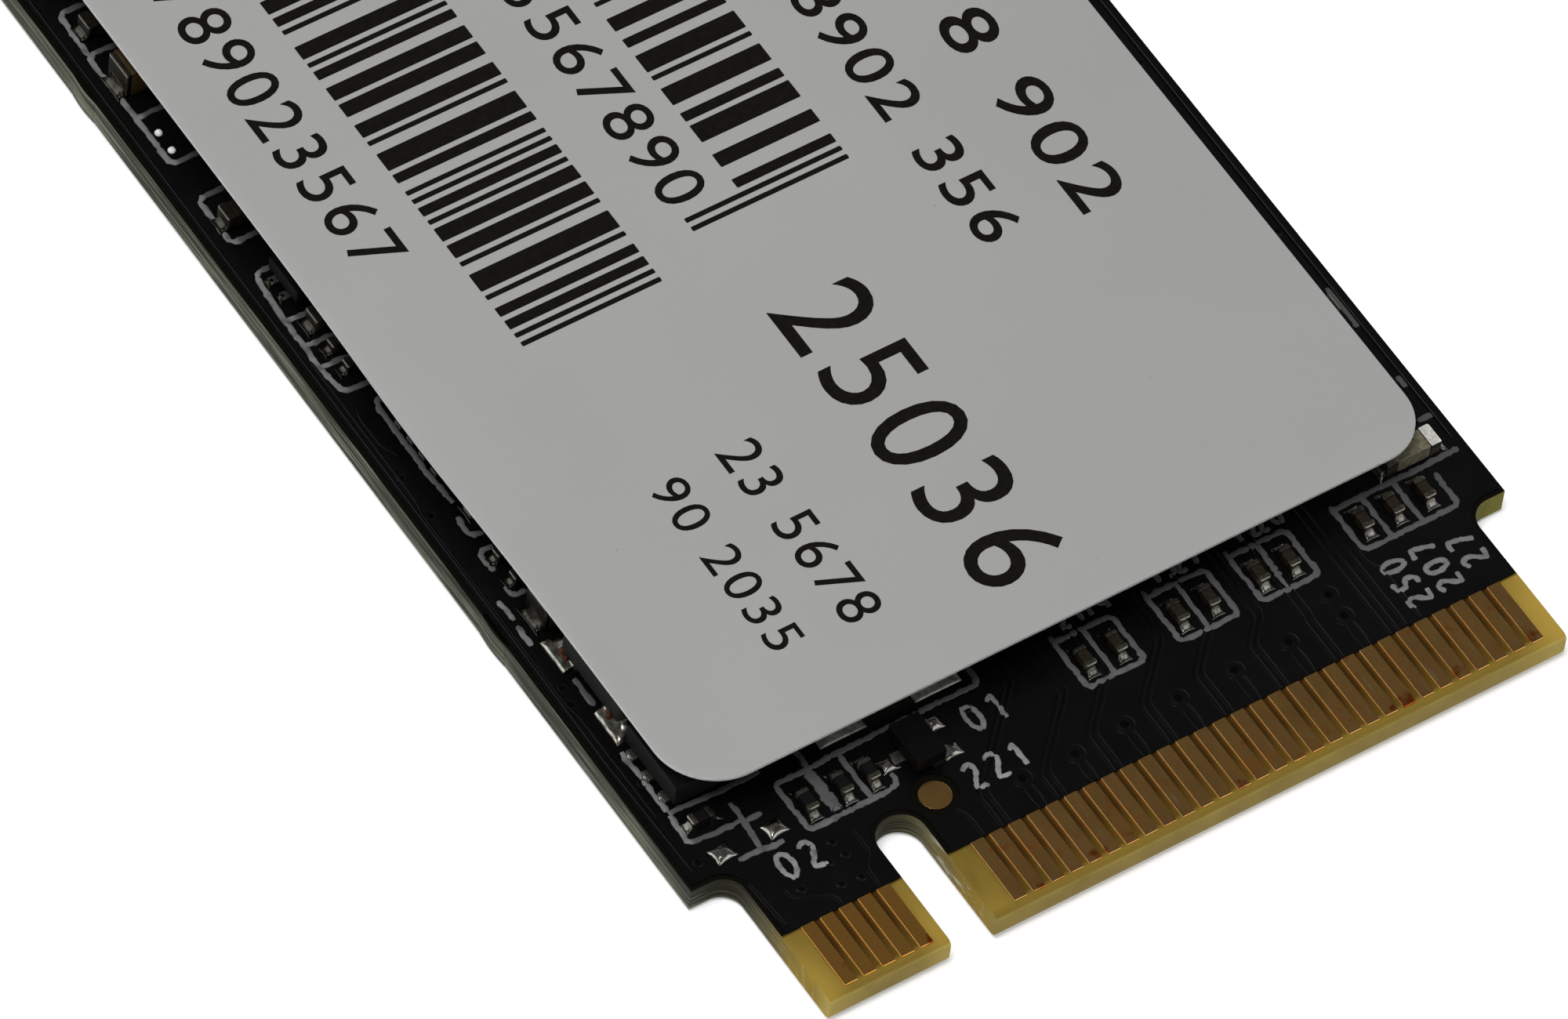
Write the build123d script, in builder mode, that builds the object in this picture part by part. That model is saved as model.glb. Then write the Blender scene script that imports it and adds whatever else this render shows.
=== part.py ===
"""M.2 solid-state drive: a 22 mm by 80 mm circuit board with an edge connector of the M key form.

Frame: X across the card, Y from the edge connector towards the screw notch, Z up, with the
underside of the card at Z = 0. All sizes are in millimetres.
"""

import os
from collections import namedtuple

from build123d import *

os.makedirs("parts", exist_ok=True)

# Board
board_length = 80.0
board_width = 22.0
laminate_thickness = 0.72
film_thickness = 0.04  # solder mask, contacts and pads, on each face
shoulder_depth = 1.075  # how far the tongue is set in on each side
tongue_length = 4.0
shoulder_radius = 0.55
tip_radius = 0.2
far_corner_radius = 0.3
mask_pullback = 0.12  # bare laminate between the mask and the board's edges
corner_slack = 0.01  # half the band in which the outline's corners are picked

# Key notch and edge contacts
key_offset = 6.125  # from the centre line, towards -X
key_width = 1.2
key_depth = 3.5
key_land = 0.5  # board kept free behind the notch
key_clear = 1.0  # no contact centre lies nearer to the notch's centre line
contact_pitch = 0.5
contact_width = 0.34
contact_margin = 0.5  # no contact centre lies nearer to the tongue's sides
contact_setback = 0.21
contact_length_top = 1.79
contact_length_bottom = 2.29

# Screw notch and its pads
notch_radius = 1.75
pad_radius = 2.75
opening_gap = 0.1  # bare ring between the pads and the mask

# Fiducial disc
fiducial_radius = 0.39
fiducial_gap = 0.18
fiducial_offset = 1.235  # from the key notch
fiducial_d = -0.54

# Label
label_thickness = 0.1
label_front_d = 1.39
label_left_margin = 0.8
label_right_margin = 1.1
label_far_margin = 4.7
label_radius = 1.55

# Ball grid packages: sizes along X, Y and Z, and the outer rings of their balls
flash_count = 2
flash_width = 18.0
flash_length = 12.0
flash_height = 0.9
flash_run_start_d = 23.0
flash_run_end_margin = 8.0
flash_ball_pitch = 1.0
flash_ball_radius = 0.22
flash_ball_columns = 12
flash_ball_rows = 11
controller_width = 9.0
controller_length = 9.0
controller_height = 0.9
controller_x = 2.0
controller_d = 15.5
controller_ball_pitch = 0.65
controller_ball_radius = 0.16
controller_ball_count = 12  # along each side
ball_height = 0.2
ball_rings = 2
ball_sides = 6
marker_radius = 0.4
marker_depth = 0.03
marker_inset = 1.0

# Leaded chips: the body stands on flat leads that reach out from under it
lead_thickness = 0.12
lead_depth = 0.3  # under the body
power_side = 3.0
power_height = 0.7
power_inset = 2.65
power_d = 13.15
power_lead_pitch = 0.5
power_lead_width = 0.25
power_lead_reach = 0.05
power_lead_count = 4  # on each of the four sides
regulator_side = 2.0
regulator_height = 0.65
regulator_inset = 1.85
regulator_d = 3.03
regulator_lead_pitch = 0.65
regulator_lead_width = 0.3
regulator_lead_reach = 0.12
regulator_lead_count = 3
switch_width = 1.0
switch_length = 1.2
switch_height = 0.4
switch_inset = 1.4
switch_d = 18.46
switch_lead_pitch = 0.5
switch_lead_width = 0.22
switch_lead_reach = 0.18
transistor_width = 0.8
transistor_length = 1.2
transistor_height = 0.4
transistor_inset = 6.4
transistor_d = 0.68
transistor_lead_pitch = 0.8
transistor_lead_width = 0.3
transistor_lead_reach = 0.24

# Crystal on four tinned pads
crystal_width = 3.2
crystal_length = 2.5
crystal_base_height = 0.5
crystal_lid_height = 0.25
crystal_lid_margin = 0.2
crystal_lid_radius = 0.3
crystal_inset = 6.45
crystal_d = 3.3
crystal_pad_width = 1.2
crystal_pad_length = 1.15
crystal_pad_pitch_x = 2.5
crystal_pad_pitch_y = 1.98
crystal_pad_height = 0.05

# Power inductors, with their length along Y
inductor_length = 2.5
inductor_width = 1.7
inductor_height = 1.0
inductor_edge = 0.12
inductor_inset = 1.8
inductor_d = 5.68
second_inductor_inset = 5.9
second_inductor_d = 13.15
terminal_length = 0.7
terminal_thickness = 0.1
inductor_pad_length = 0.98
inductor_pad_width = 2.24
inductor_pad_span = 3.22
inductor_solder_height = 0.4
inductor_solder_taper = 15.0

# Chip parts in three case sizes: "end" is the length of each metal end
small_length = 0.6
small_width = 0.3
small_height = 0.3
small_end = 0.15
medium_length = 1.0
medium_width = 0.5
medium_height = 0.45
medium_end = 0.24
large_length = 1.6
large_width = 0.8
large_height = 0.8
large_end = 0.32
end_wrap = 0.015  # the metal ends stand this far off the ceramic
end_chamfer = 0.03
solder_reach = 0.16
solder_climb = 0.7  # share of the end's height that the solder wets
solder_sag = 0.4  # how far the hollow face dips towards its corner, 0.5 being flat

# Places of the chip parts: "x" from the centre line, "inset" from the nearer side of the board,
# "d" from the front line, behind which the parts stand. The capacitors in the row along the left
# edge are placed by the inset of their outer ends and by d.
coupling_pair_x = (0.42, 2.945, 5.135)
coupling_pitch = 0.84
coupling_d = 0.8
bypass_insets = (3.4, 2.57, 1.71)
bypass_d = 0.84
resistor_insets = (3.47, 4.39, 5.11)
resistor_d = 0.65
corner_inset = 1.17
corner_d = 1.45
bead_inset = 1.45
bead_d = 1.89
bead_length = 1.5
bead_width = 0.58
bead_height = 0.45
bead_end = 0.3
side_small_spots = ((1.02, 9.0), (1.02, 9.7), (0.9, 15.81), (0.9, 16.45))
side_medium_spots = ((1.28, 11.1), (0.88, 17.23), (0.68, 20.67), (0.78, 26.88))
side_large_spots = ((0.93, 7.9), (0.66, 25.2))
right_medium_inset = 1.1
right_medium_d = 6.06

# Bare solder: two lumps on an empty footprint and two domes on empty pads
lump_insets = (1.14, 2.52)
lump_d = 0.5
lump_side = 0.46
lump_waist = 0.05  # how far each side of a lump is drawn in
lump_radius = 0.4
lump_height = 0.08
lump_taper = 30.0
dome_inset = 0.8
dome_d = (23.02, 23.59)
dome_radius = 0.18
dome_height = 0.1
dome_taper = 40.0

# Worked out from the sizes above
deck = laminate_thickness + 2 * film_thickness  # height of the board's top face
left_x = -board_width / 2
right_x = board_width / 2
tip_y = -board_length / 2
far_y = board_length / 2
tongue_width = board_width - 2 * shoulder_depth
key_x = -key_offset
front_line_y = tip_y + max(tongue_length, key_depth + key_land)
flash_stack = ball_height + flash_height
controller_stack = ball_height + controller_height
inductor_stack = terminal_thickness + inductor_height
label_z = deck + max(flash_stack, controller_stack, inductor_stack)

Case = namedtuple("Case", "length width height end")
Chip = namedtuple("Chip", "x d turn case")
small_case = Case(small_length, small_width, small_height, small_end)
medium_case = Case(medium_length, medium_width, medium_height, medium_end)
large_case = Case(large_length, large_width, large_height, large_end)
bead_case = Case(bead_length, bead_width, bead_height, bead_end)


def save(piece, name):
    """Label a finished piece and write it under its name."""
    piece.part.label = name
    export_step(piece.part, f"parts/{name}.step")


def spot(x, d, turn=0.0, lift=0.0):
    """Plane on the board's top face, turned about Z."""
    x_dir = Vector(1, 0, 0).rotate(Axis.Z, turn)
    return Plane(origin=(x, front_line_y + d, deck + lift), x_dir=x_dir, z_dir=(0, 0, 1))


# Outline of the board: tongue with its shoulders, key notch and half-round screw notch
with BuildSketch() as outline:
    Rectangle(board_width, board_length)
    with Locations((left_x, tip_y), (right_x, tip_y)):
        Rectangle(2 * shoulder_depth, 2 * tongue_length, mode=Mode.SUBTRACT)
    shoulder_y = tip_y + tongue_length
    corners = outline.vertices()
    tips = corners.filter_by_position(Axis.Y, tip_y - corner_slack, tip_y + corner_slack)
    shoulders = corners.filter_by_position(Axis.Y, shoulder_y - corner_slack, shoulder_y + corner_slack)
    inner_shoulders = shoulders.filter_by_position(Axis.X, left_x, right_x, inclusive=(False, False))
    far_corners = corners.filter_by_position(Axis.Y, far_y - corner_slack, far_y + corner_slack)
    fillet(inner_shoulders, shoulder_radius)
    fillet(tips, tip_radius)
    fillet(far_corners, far_corner_radius)
    key_round_y = tip_y + key_depth - key_width / 2
    with Locations((key_x, (tip_y + key_round_y) / 2)):
        Rectangle(key_width, key_round_y - tip_y, mode=Mode.SUBTRACT)
    with Locations((key_x, key_round_y)):
        Circle(key_width / 2, mode=Mode.SUBTRACT)
    with Locations((0, far_y)):
        Circle(notch_radius, mode=Mode.SUBTRACT)

with BuildPart() as laminate:
    with BuildSketch(Plane.XY.offset(film_thickness)):
        add(outline.sketch_local)
    extrude(amount=laminate_thickness)
save(laminate, "board_laminate")


# Solder mask on both faces, set in from the edges and open round the pads
def mask_outline(start_y):
    """Cut the mask's outline in the sketch that is being built."""
    add(outline.sketch_local)
    offset(amount=-mask_pullback)
    with Locations((0, (start_y + far_y) / 2)):
        Rectangle(board_width, far_y - start_y, mode=Mode.INTERSECT)
    with Locations((0, far_y)):
        Circle(pad_radius + opening_gap, mode=Mode.SUBTRACT)


with BuildPart() as mask_top:
    with BuildSketch(Plane.XY.offset(deck - film_thickness)):
        mask_outline(tip_y + contact_setback + contact_length_top)
        with Locations((key_x + fiducial_offset, front_line_y + fiducial_d)):
            Circle(fiducial_radius + fiducial_gap, mode=Mode.SUBTRACT)
    extrude(amount=film_thickness)
save(mask_top, "solder_mask_top")

with BuildPart() as mask_bottom:
    with BuildSketch():
        mask_outline(tip_y + contact_setback + contact_length_bottom)
    extrude(amount=film_thickness)
save(mask_bottom, "solder_mask_bottom")

with BuildPart() as fiducial:
    with BuildSketch(Plane.XY.offset(deck - film_thickness)):
        with Locations((key_x + fiducial_offset, front_line_y + fiducial_d)):
            Circle(fiducial_radius)
    extrude(amount=film_thickness)
save(fiducial, "fiducial_disc")

# Pads round the screw notch, one on each face
with BuildPart() as notch_pads:
    for base_z in (0.0, deck - film_thickness):
        with BuildSketch(Plane.XY.offset(base_z)):
            with Locations((0, far_y)):
                Circle(pad_radius)
                Circle(notch_radius, mode=Mode.SUBTRACT)
            Rectangle(board_width, board_length, mode=Mode.INTERSECT)
        extrude(amount=film_thickness)
save(notch_pads, "screw_notch_pads")


# Edge contacts: columns at the connector's pitch, left out beside the key notch
def contact_columns(shift):
    """X places of one face's contacts, shifted by a share of the pitch from the centre line."""
    reach = tongue_width / 2 - contact_margin
    steps = int(reach / contact_pitch) + 1
    columns = [(step + shift) * contact_pitch for step in range(-steps, steps + 1)]
    return [x for x in columns if abs(x) <= reach and abs(x - key_x) >= key_clear]


for face, shift, base_z, length in (
    ("top", 0.5, deck - film_thickness, contact_length_top),
    ("bottom", 0.0, 0.0, contact_length_bottom),
):
    columns = contact_columns(shift)
    middle_y = tip_y + contact_setback + length / 2
    for group, group_columns in (
        ("long", [x for x in columns if x > key_x]),
        ("short", [x for x in columns if x < key_x]),
    ):
        with BuildPart() as contacts:
            with BuildSketch(Plane.XY.offset(base_z)):
                with Locations(*[(x, middle_y) for x in group_columns]):
                    Rectangle(contact_width, length)
            extrude(amount=film_thickness)
        save(contacts, f"contacts_{face}_{group}")

# Label: one flat sheet that lies on the tallest chips
label_front_y = front_line_y + label_front_d
label_far_y = far_y - label_far_margin
label_left_x = left_x + label_left_margin
label_right_x = right_x - label_right_margin
with BuildPart() as label:
    with BuildSketch(Plane.XY.offset(label_z)):
        with Locations(((label_left_x + label_right_x) / 2, (label_front_y + label_far_y) / 2)):
            RectangleRounded(label_right_x - label_left_x, label_far_y - label_front_y, label_radius)
    extrude(amount=label_thickness)
save(label, "label_sheet")


# Ball grid packages
def package_block(width, length, height):
    """Moulded block with the marker dot of its first ball."""
    Box(width, length, height, align=(Align.CENTER, Align.CENTER, Align.MIN))
    with Locations((marker_inset - width / 2, marker_inset - length / 2, height - marker_depth / 2)):
        Cylinder(marker_radius, marker_depth, mode=Mode.SUBTRACT)


def ball_places(columns, rows, pitch):
    """Places of the outer rings of solder balls."""
    return [
        ((column - (columns - 1) / 2) * pitch, (row - (rows - 1) / 2) * pitch)
        for column in range(columns)
        for row in range(rows)
        if min(column, row, columns - 1 - column, rows - 1 - row) < ball_rings
    ]


with BuildPart(spot(controller_x, controller_d, lift=ball_height)) as controller:
    package_block(controller_width, controller_length, controller_height)
save(controller, "controller_package")

with BuildPart() as controller_balls:
    with BuildSketch(spot(controller_x, controller_d)):
        count = controller_ball_count
        with Locations(*ball_places(count, count, controller_ball_pitch)):
            RegularPolygon(controller_ball_radius, ball_sides)
    extrude(amount=ball_height)
save(controller_balls, "controller_solder_balls")

flash_run_end_d = far_y - flash_run_end_margin - front_line_y
flash_run = flash_run_end_d - flash_run_start_d
flash_gap = (flash_run - flash_count * flash_length) / (flash_count + 1)
for number in range(1, flash_count + 1):
    flash_d = flash_run_start_d + number * (flash_gap + flash_length) - flash_length / 2
    with BuildPart(spot(0, flash_d, lift=ball_height)) as flash:
        package_block(flash_width, flash_length, flash_height)
    save(flash, f"flash_package_{number}")
    with BuildPart() as flash_balls:
        with BuildSketch(spot(0, flash_d)):
            with Locations(*ball_places(flash_ball_columns, flash_ball_rows, flash_ball_pitch)):
                RegularPolygon(flash_ball_radius, ball_sides)
        extrude(amount=ball_height)
    save(flash_balls, f"flash_solder_balls_{number}")


# Leaded chips
def lead_row(count, pitch, width, body_edge, reach):
    """Row of flat leads along local Y, reaching out past the body's edge on local +X."""
    with Locations((body_edge + (reach - lead_depth) / 2, 0, lead_thickness / 2)):
        with GridLocations(1, pitch, 1, count):
            Box(lead_depth + reach, width, lead_thickness)


def chip_block(width, length, height, mode=Mode.ADD):
    """Plain block that stands on the plane in use."""
    Box(width, length, height, align=(Align.CENTER, Align.CENTER, Align.MIN), mode=mode)


power_spot = (left_x + power_inset, power_d)
with BuildPart(spot(*power_spot, lift=lead_thickness)) as power_chip:
    chip_block(power_side, power_side, power_height)
save(power_chip, "power_chip_body")

with BuildPart(spot(*power_spot)) as power_leads:
    with PolarLocations(0, 4):
        lead_row(power_lead_count, power_lead_pitch, power_lead_width, power_side / 2, power_lead_reach)
save(power_leads, "power_chip_leads")

regulator_spot = (left_x + regulator_inset, regulator_d)
with BuildPart(spot(*regulator_spot, lift=lead_thickness)) as regulator:
    chip_block(regulator_side, regulator_side, regulator_height)
save(regulator, "regulator_body")

with BuildPart(spot(*regulator_spot)) as regulator_leads:
    with PolarLocations(0, 2):
        lead_row(
            regulator_lead_count,
            regulator_lead_pitch,
            regulator_lead_width,
            regulator_side / 2,
            regulator_lead_reach,
        )
save(regulator_leads, "regulator_leads")

switch_spot = (left_x + switch_inset, switch_d)
with BuildPart(spot(*switch_spot, lift=lead_thickness)) as load_switch:
    chip_block(switch_width, switch_length, switch_height)
save(load_switch, "load_switch_body")

with BuildPart(spot(*switch_spot)) as switch_leads:
    with PolarLocations(0, 2):
        lead_row(2, switch_lead_pitch, switch_lead_width, switch_width / 2, switch_lead_reach)
save(switch_leads, "load_switch_leads")

transistor_spot = (left_x + transistor_inset, transistor_d)
with BuildPart(spot(*transistor_spot, lift=lead_thickness)) as transistor:
    chip_block(transistor_width, transistor_length, transistor_height)
save(transistor, "transistor_body")

with BuildPart(spot(*transistor_spot)) as transistor_leads:
    for count, turn in ((2, 0), (1, 180)):
        with Locations(Location((0, 0, 0), (0, 0, turn))):
            lead_row(
                count,
                transistor_lead_pitch,
                transistor_lead_width,
                transistor_width / 2,
                transistor_lead_reach,
            )
save(transistor_leads, "transistor_leads")

# Crystal: ceramic base with a metal lid
crystal_spot = (left_x + crystal_inset, crystal_d)
with BuildPart(spot(*crystal_spot, lift=crystal_pad_height)) as crystal_base:
    chip_block(crystal_width, crystal_length, crystal_base_height)
save(crystal_base, "crystal_base")

with BuildPart() as crystal_lid:
    with BuildSketch(spot(*crystal_spot, lift=crystal_pad_height + crystal_base_height)):
        lid_width = crystal_width - 2 * crystal_lid_margin
        lid_length = crystal_length - 2 * crystal_lid_margin
        RectangleRounded(lid_width, lid_length, crystal_lid_radius)
    extrude(amount=crystal_lid_height)
save(crystal_lid, "crystal_lid")

# Power inductors: a pressed core on two flat terminals
inductor_spots = (
    (left_x + inductor_inset, inductor_d),
    (left_x + second_inductor_inset, second_inductor_d),
)
terminal_shift = (inductor_length - terminal_length) / 2
for number, place in enumerate(inductor_spots, start=1):
    with BuildPart(spot(*place, lift=terminal_thickness)) as core:
        chip_block(inductor_width, inductor_length, inductor_height)
        chamfer(core.edges().filter_by(Axis.Z), inductor_edge)
    save(core, f"inductor_core_{number}")

with BuildPart() as terminals:
    for place in inductor_spots:
        with Locations(spot(*place)):
            with Locations((0, -terminal_shift), (0, terminal_shift)):
                chip_block(inductor_width, terminal_length, terminal_thickness)
save(terminals, "inductor_terminals")

# Chip parts by name: those behind the tongue lie along Y, those beside the edges along X
coupling_x = [x + side * coupling_pitch / 2 for x in coupling_pair_x for side in (-1, 1)]
front_chips = {
    f"coupling_capacitor_{number}": Chip(x, coupling_d, 90, small_case)
    for number, x in enumerate(coupling_x, start=1)
}
for number, inset in enumerate(bypass_insets, start=1):
    front_chips[f"bypass_capacitor_{number}"] = Chip(right_x - inset, bypass_d, 90, small_case)
for number, inset in enumerate(resistor_insets, start=1):
    front_chips[f"pull_resistor_{number}"] = Chip(left_x + inset, resistor_d, 90, small_case)
front_chips["corner_resistor"] = Chip(left_x + corner_inset, corner_d, 0, small_case)
front_chips["corner_bead"] = Chip(right_x - bead_inset, bead_d, 0, bead_case)

side_chips = {}
for kind, case, spots in (
    ("small", small_case, side_small_spots),
    ("medium", medium_case, side_medium_spots),
    ("large", large_case, side_large_spots),
):
    for number, (inset, d) in enumerate(spots, start=1):
        side_x = left_x + inset + case.length / 2
        side_chips[f"side_capacitor_{kind}_{number}"] = Chip(side_x, d, 0, case)
side_chips["right_capacitor"] = Chip(right_x - right_medium_inset, right_medium_d, 0, medium_case)

for name, chip in {**front_chips, **side_chips}.items():
    case = chip.case
    with BuildPart(spot(chip.x, chip.d, chip.turn)) as ceramic:
        with Locations((0, 0, case.height / 2)):
            Box(case.length - 2 * case.end, case.width - 2 * end_wrap, case.height - 2 * end_wrap)
    save(ceramic, name)


def end_planes(chip):
    """Upright planes at the feet of a chip's two ends, with local X outward and local Y up."""
    base = spot(chip.x, chip.d, chip.turn)
    planes = []
    for outward in (base.x_dir, -base.x_dir):
        foot = base.origin + outward * (chip.case.length / 2)
        planes.append(Plane(origin=foot, x_dir=outward, z_dir=outward.cross(Vector(0, 0, 1))))
    return planes


# Metal ends of the chip parts, with their outer edges broken
for row, row_chips in (("front", front_chips), ("side", side_chips)):
    with BuildPart() as ends:
        for chip in row_chips.values():
            for plane in end_planes(chip):
                with BuildSketch(plane):
                    Rectangle(chip.case.end, chip.case.height, align=(Align.MAX, Align.MIN))
                extrude(amount=chip.case.width / 2, both=True)
                outer = ends.faces(Select.LAST).sort_by(Axis(plane.origin, plane.x_dir))[-1]
                chamfer(outer.edges(), end_chamfer)
    save(ends, f"{row}_chip_ends")


# Solder: hollow fillets at the chip ends, tinned crystal pads, bare lumps and the inductors' pads
def fillet_profile(climb):
    """Section of a hollow fillet against an upright end, drawn in the line that is being built."""
    Polyline((0, climb), (0, 0), (solder_reach, 0))
    ThreePointArc((solder_reach, 0), (solder_sag * solder_reach, solder_sag * climb), (0, climb))


with BuildPart() as front_solder:
    for chip in front_chips.values():
        for plane in end_planes(chip):
            with BuildSketch(plane):
                with BuildLine():
                    fillet_profile(solder_climb * chip.case.height)
                make_face()
            extrude(amount=chip.case.width / 2, both=True)
    with BuildSketch(spot(*crystal_spot)):
        with GridLocations(crystal_pad_pitch_x, crystal_pad_pitch_y, 2, 2):
            Rectangle(crystal_pad_width, crystal_pad_length)
    extrude(amount=crystal_pad_height)
    for inset in lump_insets:
        with BuildSketch(spot(left_x + inset, lump_d)):
            Rectangle(lump_side, lump_side)
            with PolarLocations(lump_radius + lump_side / 2 - lump_waist, 4):
                Circle(lump_radius, mode=Mode.SUBTRACT)
        extrude(amount=lump_height, taper=lump_taper)
save(front_solder, "front_solder")

with BuildPart() as side_solder:
    for chip in side_chips.values():
        for plane in end_planes(chip):
            with BuildSketch(plane):
                with BuildLine():
                    fillet_profile(solder_climb * chip.case.height)
                make_face()
            extrude(amount=chip.case.width / 2, both=True)
    for place in inductor_spots:
        with BuildSketch(spot(*place)):
            with GridLocations(1, inductor_pad_span - inductor_pad_length, 1, 2):
                Rectangle(inductor_pad_width, inductor_pad_length)
        extrude(amount=inductor_solder_height, taper=inductor_solder_taper)
        with Locations(spot(*place)):
            chip_block(inductor_width, inductor_length, inductor_stack, mode=Mode.SUBTRACT)
    for d in dome_d:
        with BuildSketch(spot(left_x + dome_inset, d)):
            Circle(dome_radius)
        extrude(amount=dome_height, taper=dome_taper)
save(side_solder, "side_solder")
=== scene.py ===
"""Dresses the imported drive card: finishes, rounded edges, solder, tracks, printed marks, label and stage.

Sizes are in millimetres. Places on the card are (x, y), with y counted from the connector's tip.
"""

import itertools
import math
import random

import bpy
from mathutils import Matrix, Vector, noise


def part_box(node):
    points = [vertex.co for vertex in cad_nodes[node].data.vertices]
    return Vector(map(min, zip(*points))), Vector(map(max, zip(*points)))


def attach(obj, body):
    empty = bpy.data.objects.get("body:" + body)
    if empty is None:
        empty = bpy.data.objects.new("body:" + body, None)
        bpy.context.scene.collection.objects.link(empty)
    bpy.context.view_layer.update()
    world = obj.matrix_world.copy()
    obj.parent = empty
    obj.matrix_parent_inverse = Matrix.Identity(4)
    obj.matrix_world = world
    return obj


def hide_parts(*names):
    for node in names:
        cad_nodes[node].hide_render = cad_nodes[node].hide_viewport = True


bl_info = {
    "name": "Drive card dresser",
    "version": (1, 0, 0),
    "blender": (4, 5, 0),
    "location": "3D View > Sidebar > Card",
    "description": "Dresses a packed drive card with finishes, solder, tracks, print, a label and a studio",
    "category": "Object",
}

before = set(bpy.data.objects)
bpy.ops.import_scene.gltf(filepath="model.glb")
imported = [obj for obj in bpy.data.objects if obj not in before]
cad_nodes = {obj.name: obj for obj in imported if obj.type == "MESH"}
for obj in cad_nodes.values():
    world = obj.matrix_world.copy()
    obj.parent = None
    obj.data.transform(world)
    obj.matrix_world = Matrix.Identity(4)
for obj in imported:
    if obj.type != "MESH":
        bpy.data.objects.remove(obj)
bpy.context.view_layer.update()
MM = 0.001


def span(node):
    """Lowest and highest corner of a CAD node, in millimetres."""
    low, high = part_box(node)
    return low / MM, high / MM


def tone(red, green, blue):
    """Linear colour of a screen colour given from 0 to 255."""
    shares = (red / 255, green / 255, blue / 255)
    return tuple(s / 12.92 if s <= 0.04045 else ((s + 0.055) / 1.055) ** 2.4 for s in shares)


board_low, board_high = span("board_laminate")
tip_y = board_low.y
far_y = board_high.y
deck = span("solder_mask_top")[1].z
floor_side = span("solder_mask_bottom")[0].z
label_low, label_high = span("label_sheet")
mask_front = span("solder_mask_top")[0].y - tip_y
under_mask_front = span("solder_mask_bottom")[0].y - tip_y

# Contacts on the top: pitch, right edge of one of them, where they start and the reach of each group along X
contact_pitch = 0.5
contact_spans = [span(f"contacts_top_{group}") for group in ("short", "long")]
contact_reaches = [(low.x, high.x) for low, high in contact_spans]
contact_right = contact_spans[0][1].x
contact_start = contact_spans[0][0].y

# Chip parts: the length of their metal ends, and how far the large capacitors' ceramic laps over those ends
end_lengths = {"small": 0.15, "medium": 0.24, "large": 0.32, "bead": 0.3}
glaze_reach = 0.18
glaze_rise = 0.022
front_row = [
    *[f"coupling_capacitor_{n}" for n in range(1, 7)],
    *[f"bypass_capacitor_{n}" for n in range(1, 4)],
    *[f"pull_resistor_{n}" for n in range(1, 4)],
]
corner_parts = ["corner_resistor", "corner_bead"]
side_row = [
    *[f"side_capacitor_small_{n}" for n in range(1, 5)],
    *[f"side_capacitor_medium_{n}" for n in range(1, 5)],
    *[f"side_capacitor_large_{n}" for n in range(1, 3)],
    "right_capacitor",
]
capacitors = [n for n in front_row + side_row if "capacitor" in n]
resistors = [n for n in front_row + corner_parts if "resistor" in n]

# Printed outlines behind the tongue and along the edges
ink_outlines = (
    ((-9.02, 5.02), (-10.38, 5.07), (-10.31, 5.95)),
    ((-9.66, 4.17), (-8.46, 4.11)),
    ((-9.03, 4.17), (-8.96, 5.55)),
    ((-9.0, 4.95), (-8.52, 4.98)),
    ((-10.3, 5.98), (-8.9, 5.93), (-7.95, 5.95)),
    ((-7.84, 5.45), (-7.84, 4.05), (-5.55, 4.07), (-5.42, 4.2), (-5.44, 4.42)),
    ((-7.84, 5.45), (-6.5, 5.47)),
    ((-6.16, 4.1), (-6.16, 5.4)),
    ((-6.6, 5.5), (-2.36, 5.5), (-2.36, 6.6)),
    ((-6.95, 5.5), (-6.95, 6.6)),
    ((-0.3, 5.75), (-0.3, 4.18), (1.25, 4.18), (1.25, 5.58), (-0.3, 5.58)),
    ((0.46, 4.18), (0.46, 5.58)),
    ((2.22, 5.75), (2.22, 4.18), (3.8, 4.18), (3.8, 5.58), (2.22, 5.58)),
    ((3.0, 4.18), (3.0, 5.58)),
    ((4.45, 5.75), (4.45, 4.18), (5.99, 4.18), (5.99, 5.58), (4.45, 5.58)),
    ((5.19, 4.18), (5.19, 5.58)),
    ((7.24, 5.6), (7.24, 4.2), (9.85, 4.2), (9.85, 5.2)),
    ((8.02, 4.2), (8.02, 5.55)),
    ((8.87, 4.2), (8.87, 5.55)),
    ((7.24, 5.48), (9.7, 5.48)),
    ((9.0, 5.46), (10.74, 5.5)),
    ((10.36, 6.57), (10.8, 6.57)),
    ((10.67, 7.5), (10.67, 7.85)),
    ((10.67, 9.42), (10.67, 10.71)),
    ((-10.32, 6.04), (-10.32, 7.9)),
    ((-10.16, 9.26), (-10.16, 10.09)),
    ((-10.5, 11.33), (-10.5, 11.93)),
    ((-10.46, 12.1), (-10.5, 12.72)),
    ((-9.75, 19.25), (-10.42, 19.32), (-10.53, 20.15), (-10.5, 22.2), (-10.4, 23.13), (-9.7, 23.1)),
    ((-10.5, 21.64), (-9.75, 21.6)),
    ((-10.52, 20.82), (-9.75, 20.8)),
    ((-10.5, 20.15), (-9.75, 20.12)),
    ((-9.6, 24.09), (-10.42, 24.09), (-10.42, 25.54), (-9.6, 25.54)),
    ((-9.6, 26.68), (-10.42, 26.68), (-10.44, 30.25), (-9.6, 30.25)),
    ((-10.44, 28.2), (-9.6, 28.2)),
    ((-10.42, 30.25), (-10.4, 31.6), (-9.6, 31.6)),
)
# Outlines on the left edge in the numbers' denser, lighter ink as painted light beside the label, and one
# stroke of double width
painted_light_outlines = (
    ((-9.8, 14.05), (-10.15, 14.07), (-10.13, 13.45)),
    ((-10.16, 12.95), (-10.13, 12.66), (-9.8, 12.69)),
    ((-9.77, 14.46), (-10.09, 14.55), (-10.05, 15.1)),
    ((-9.9, 15.5), (-9.98, 16.2), (-9.97, 18.65), (-9.75, 18.8)),
)
wide_ink = (((-7.0, 4.18), (-7.0, 5.4)),)

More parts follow.
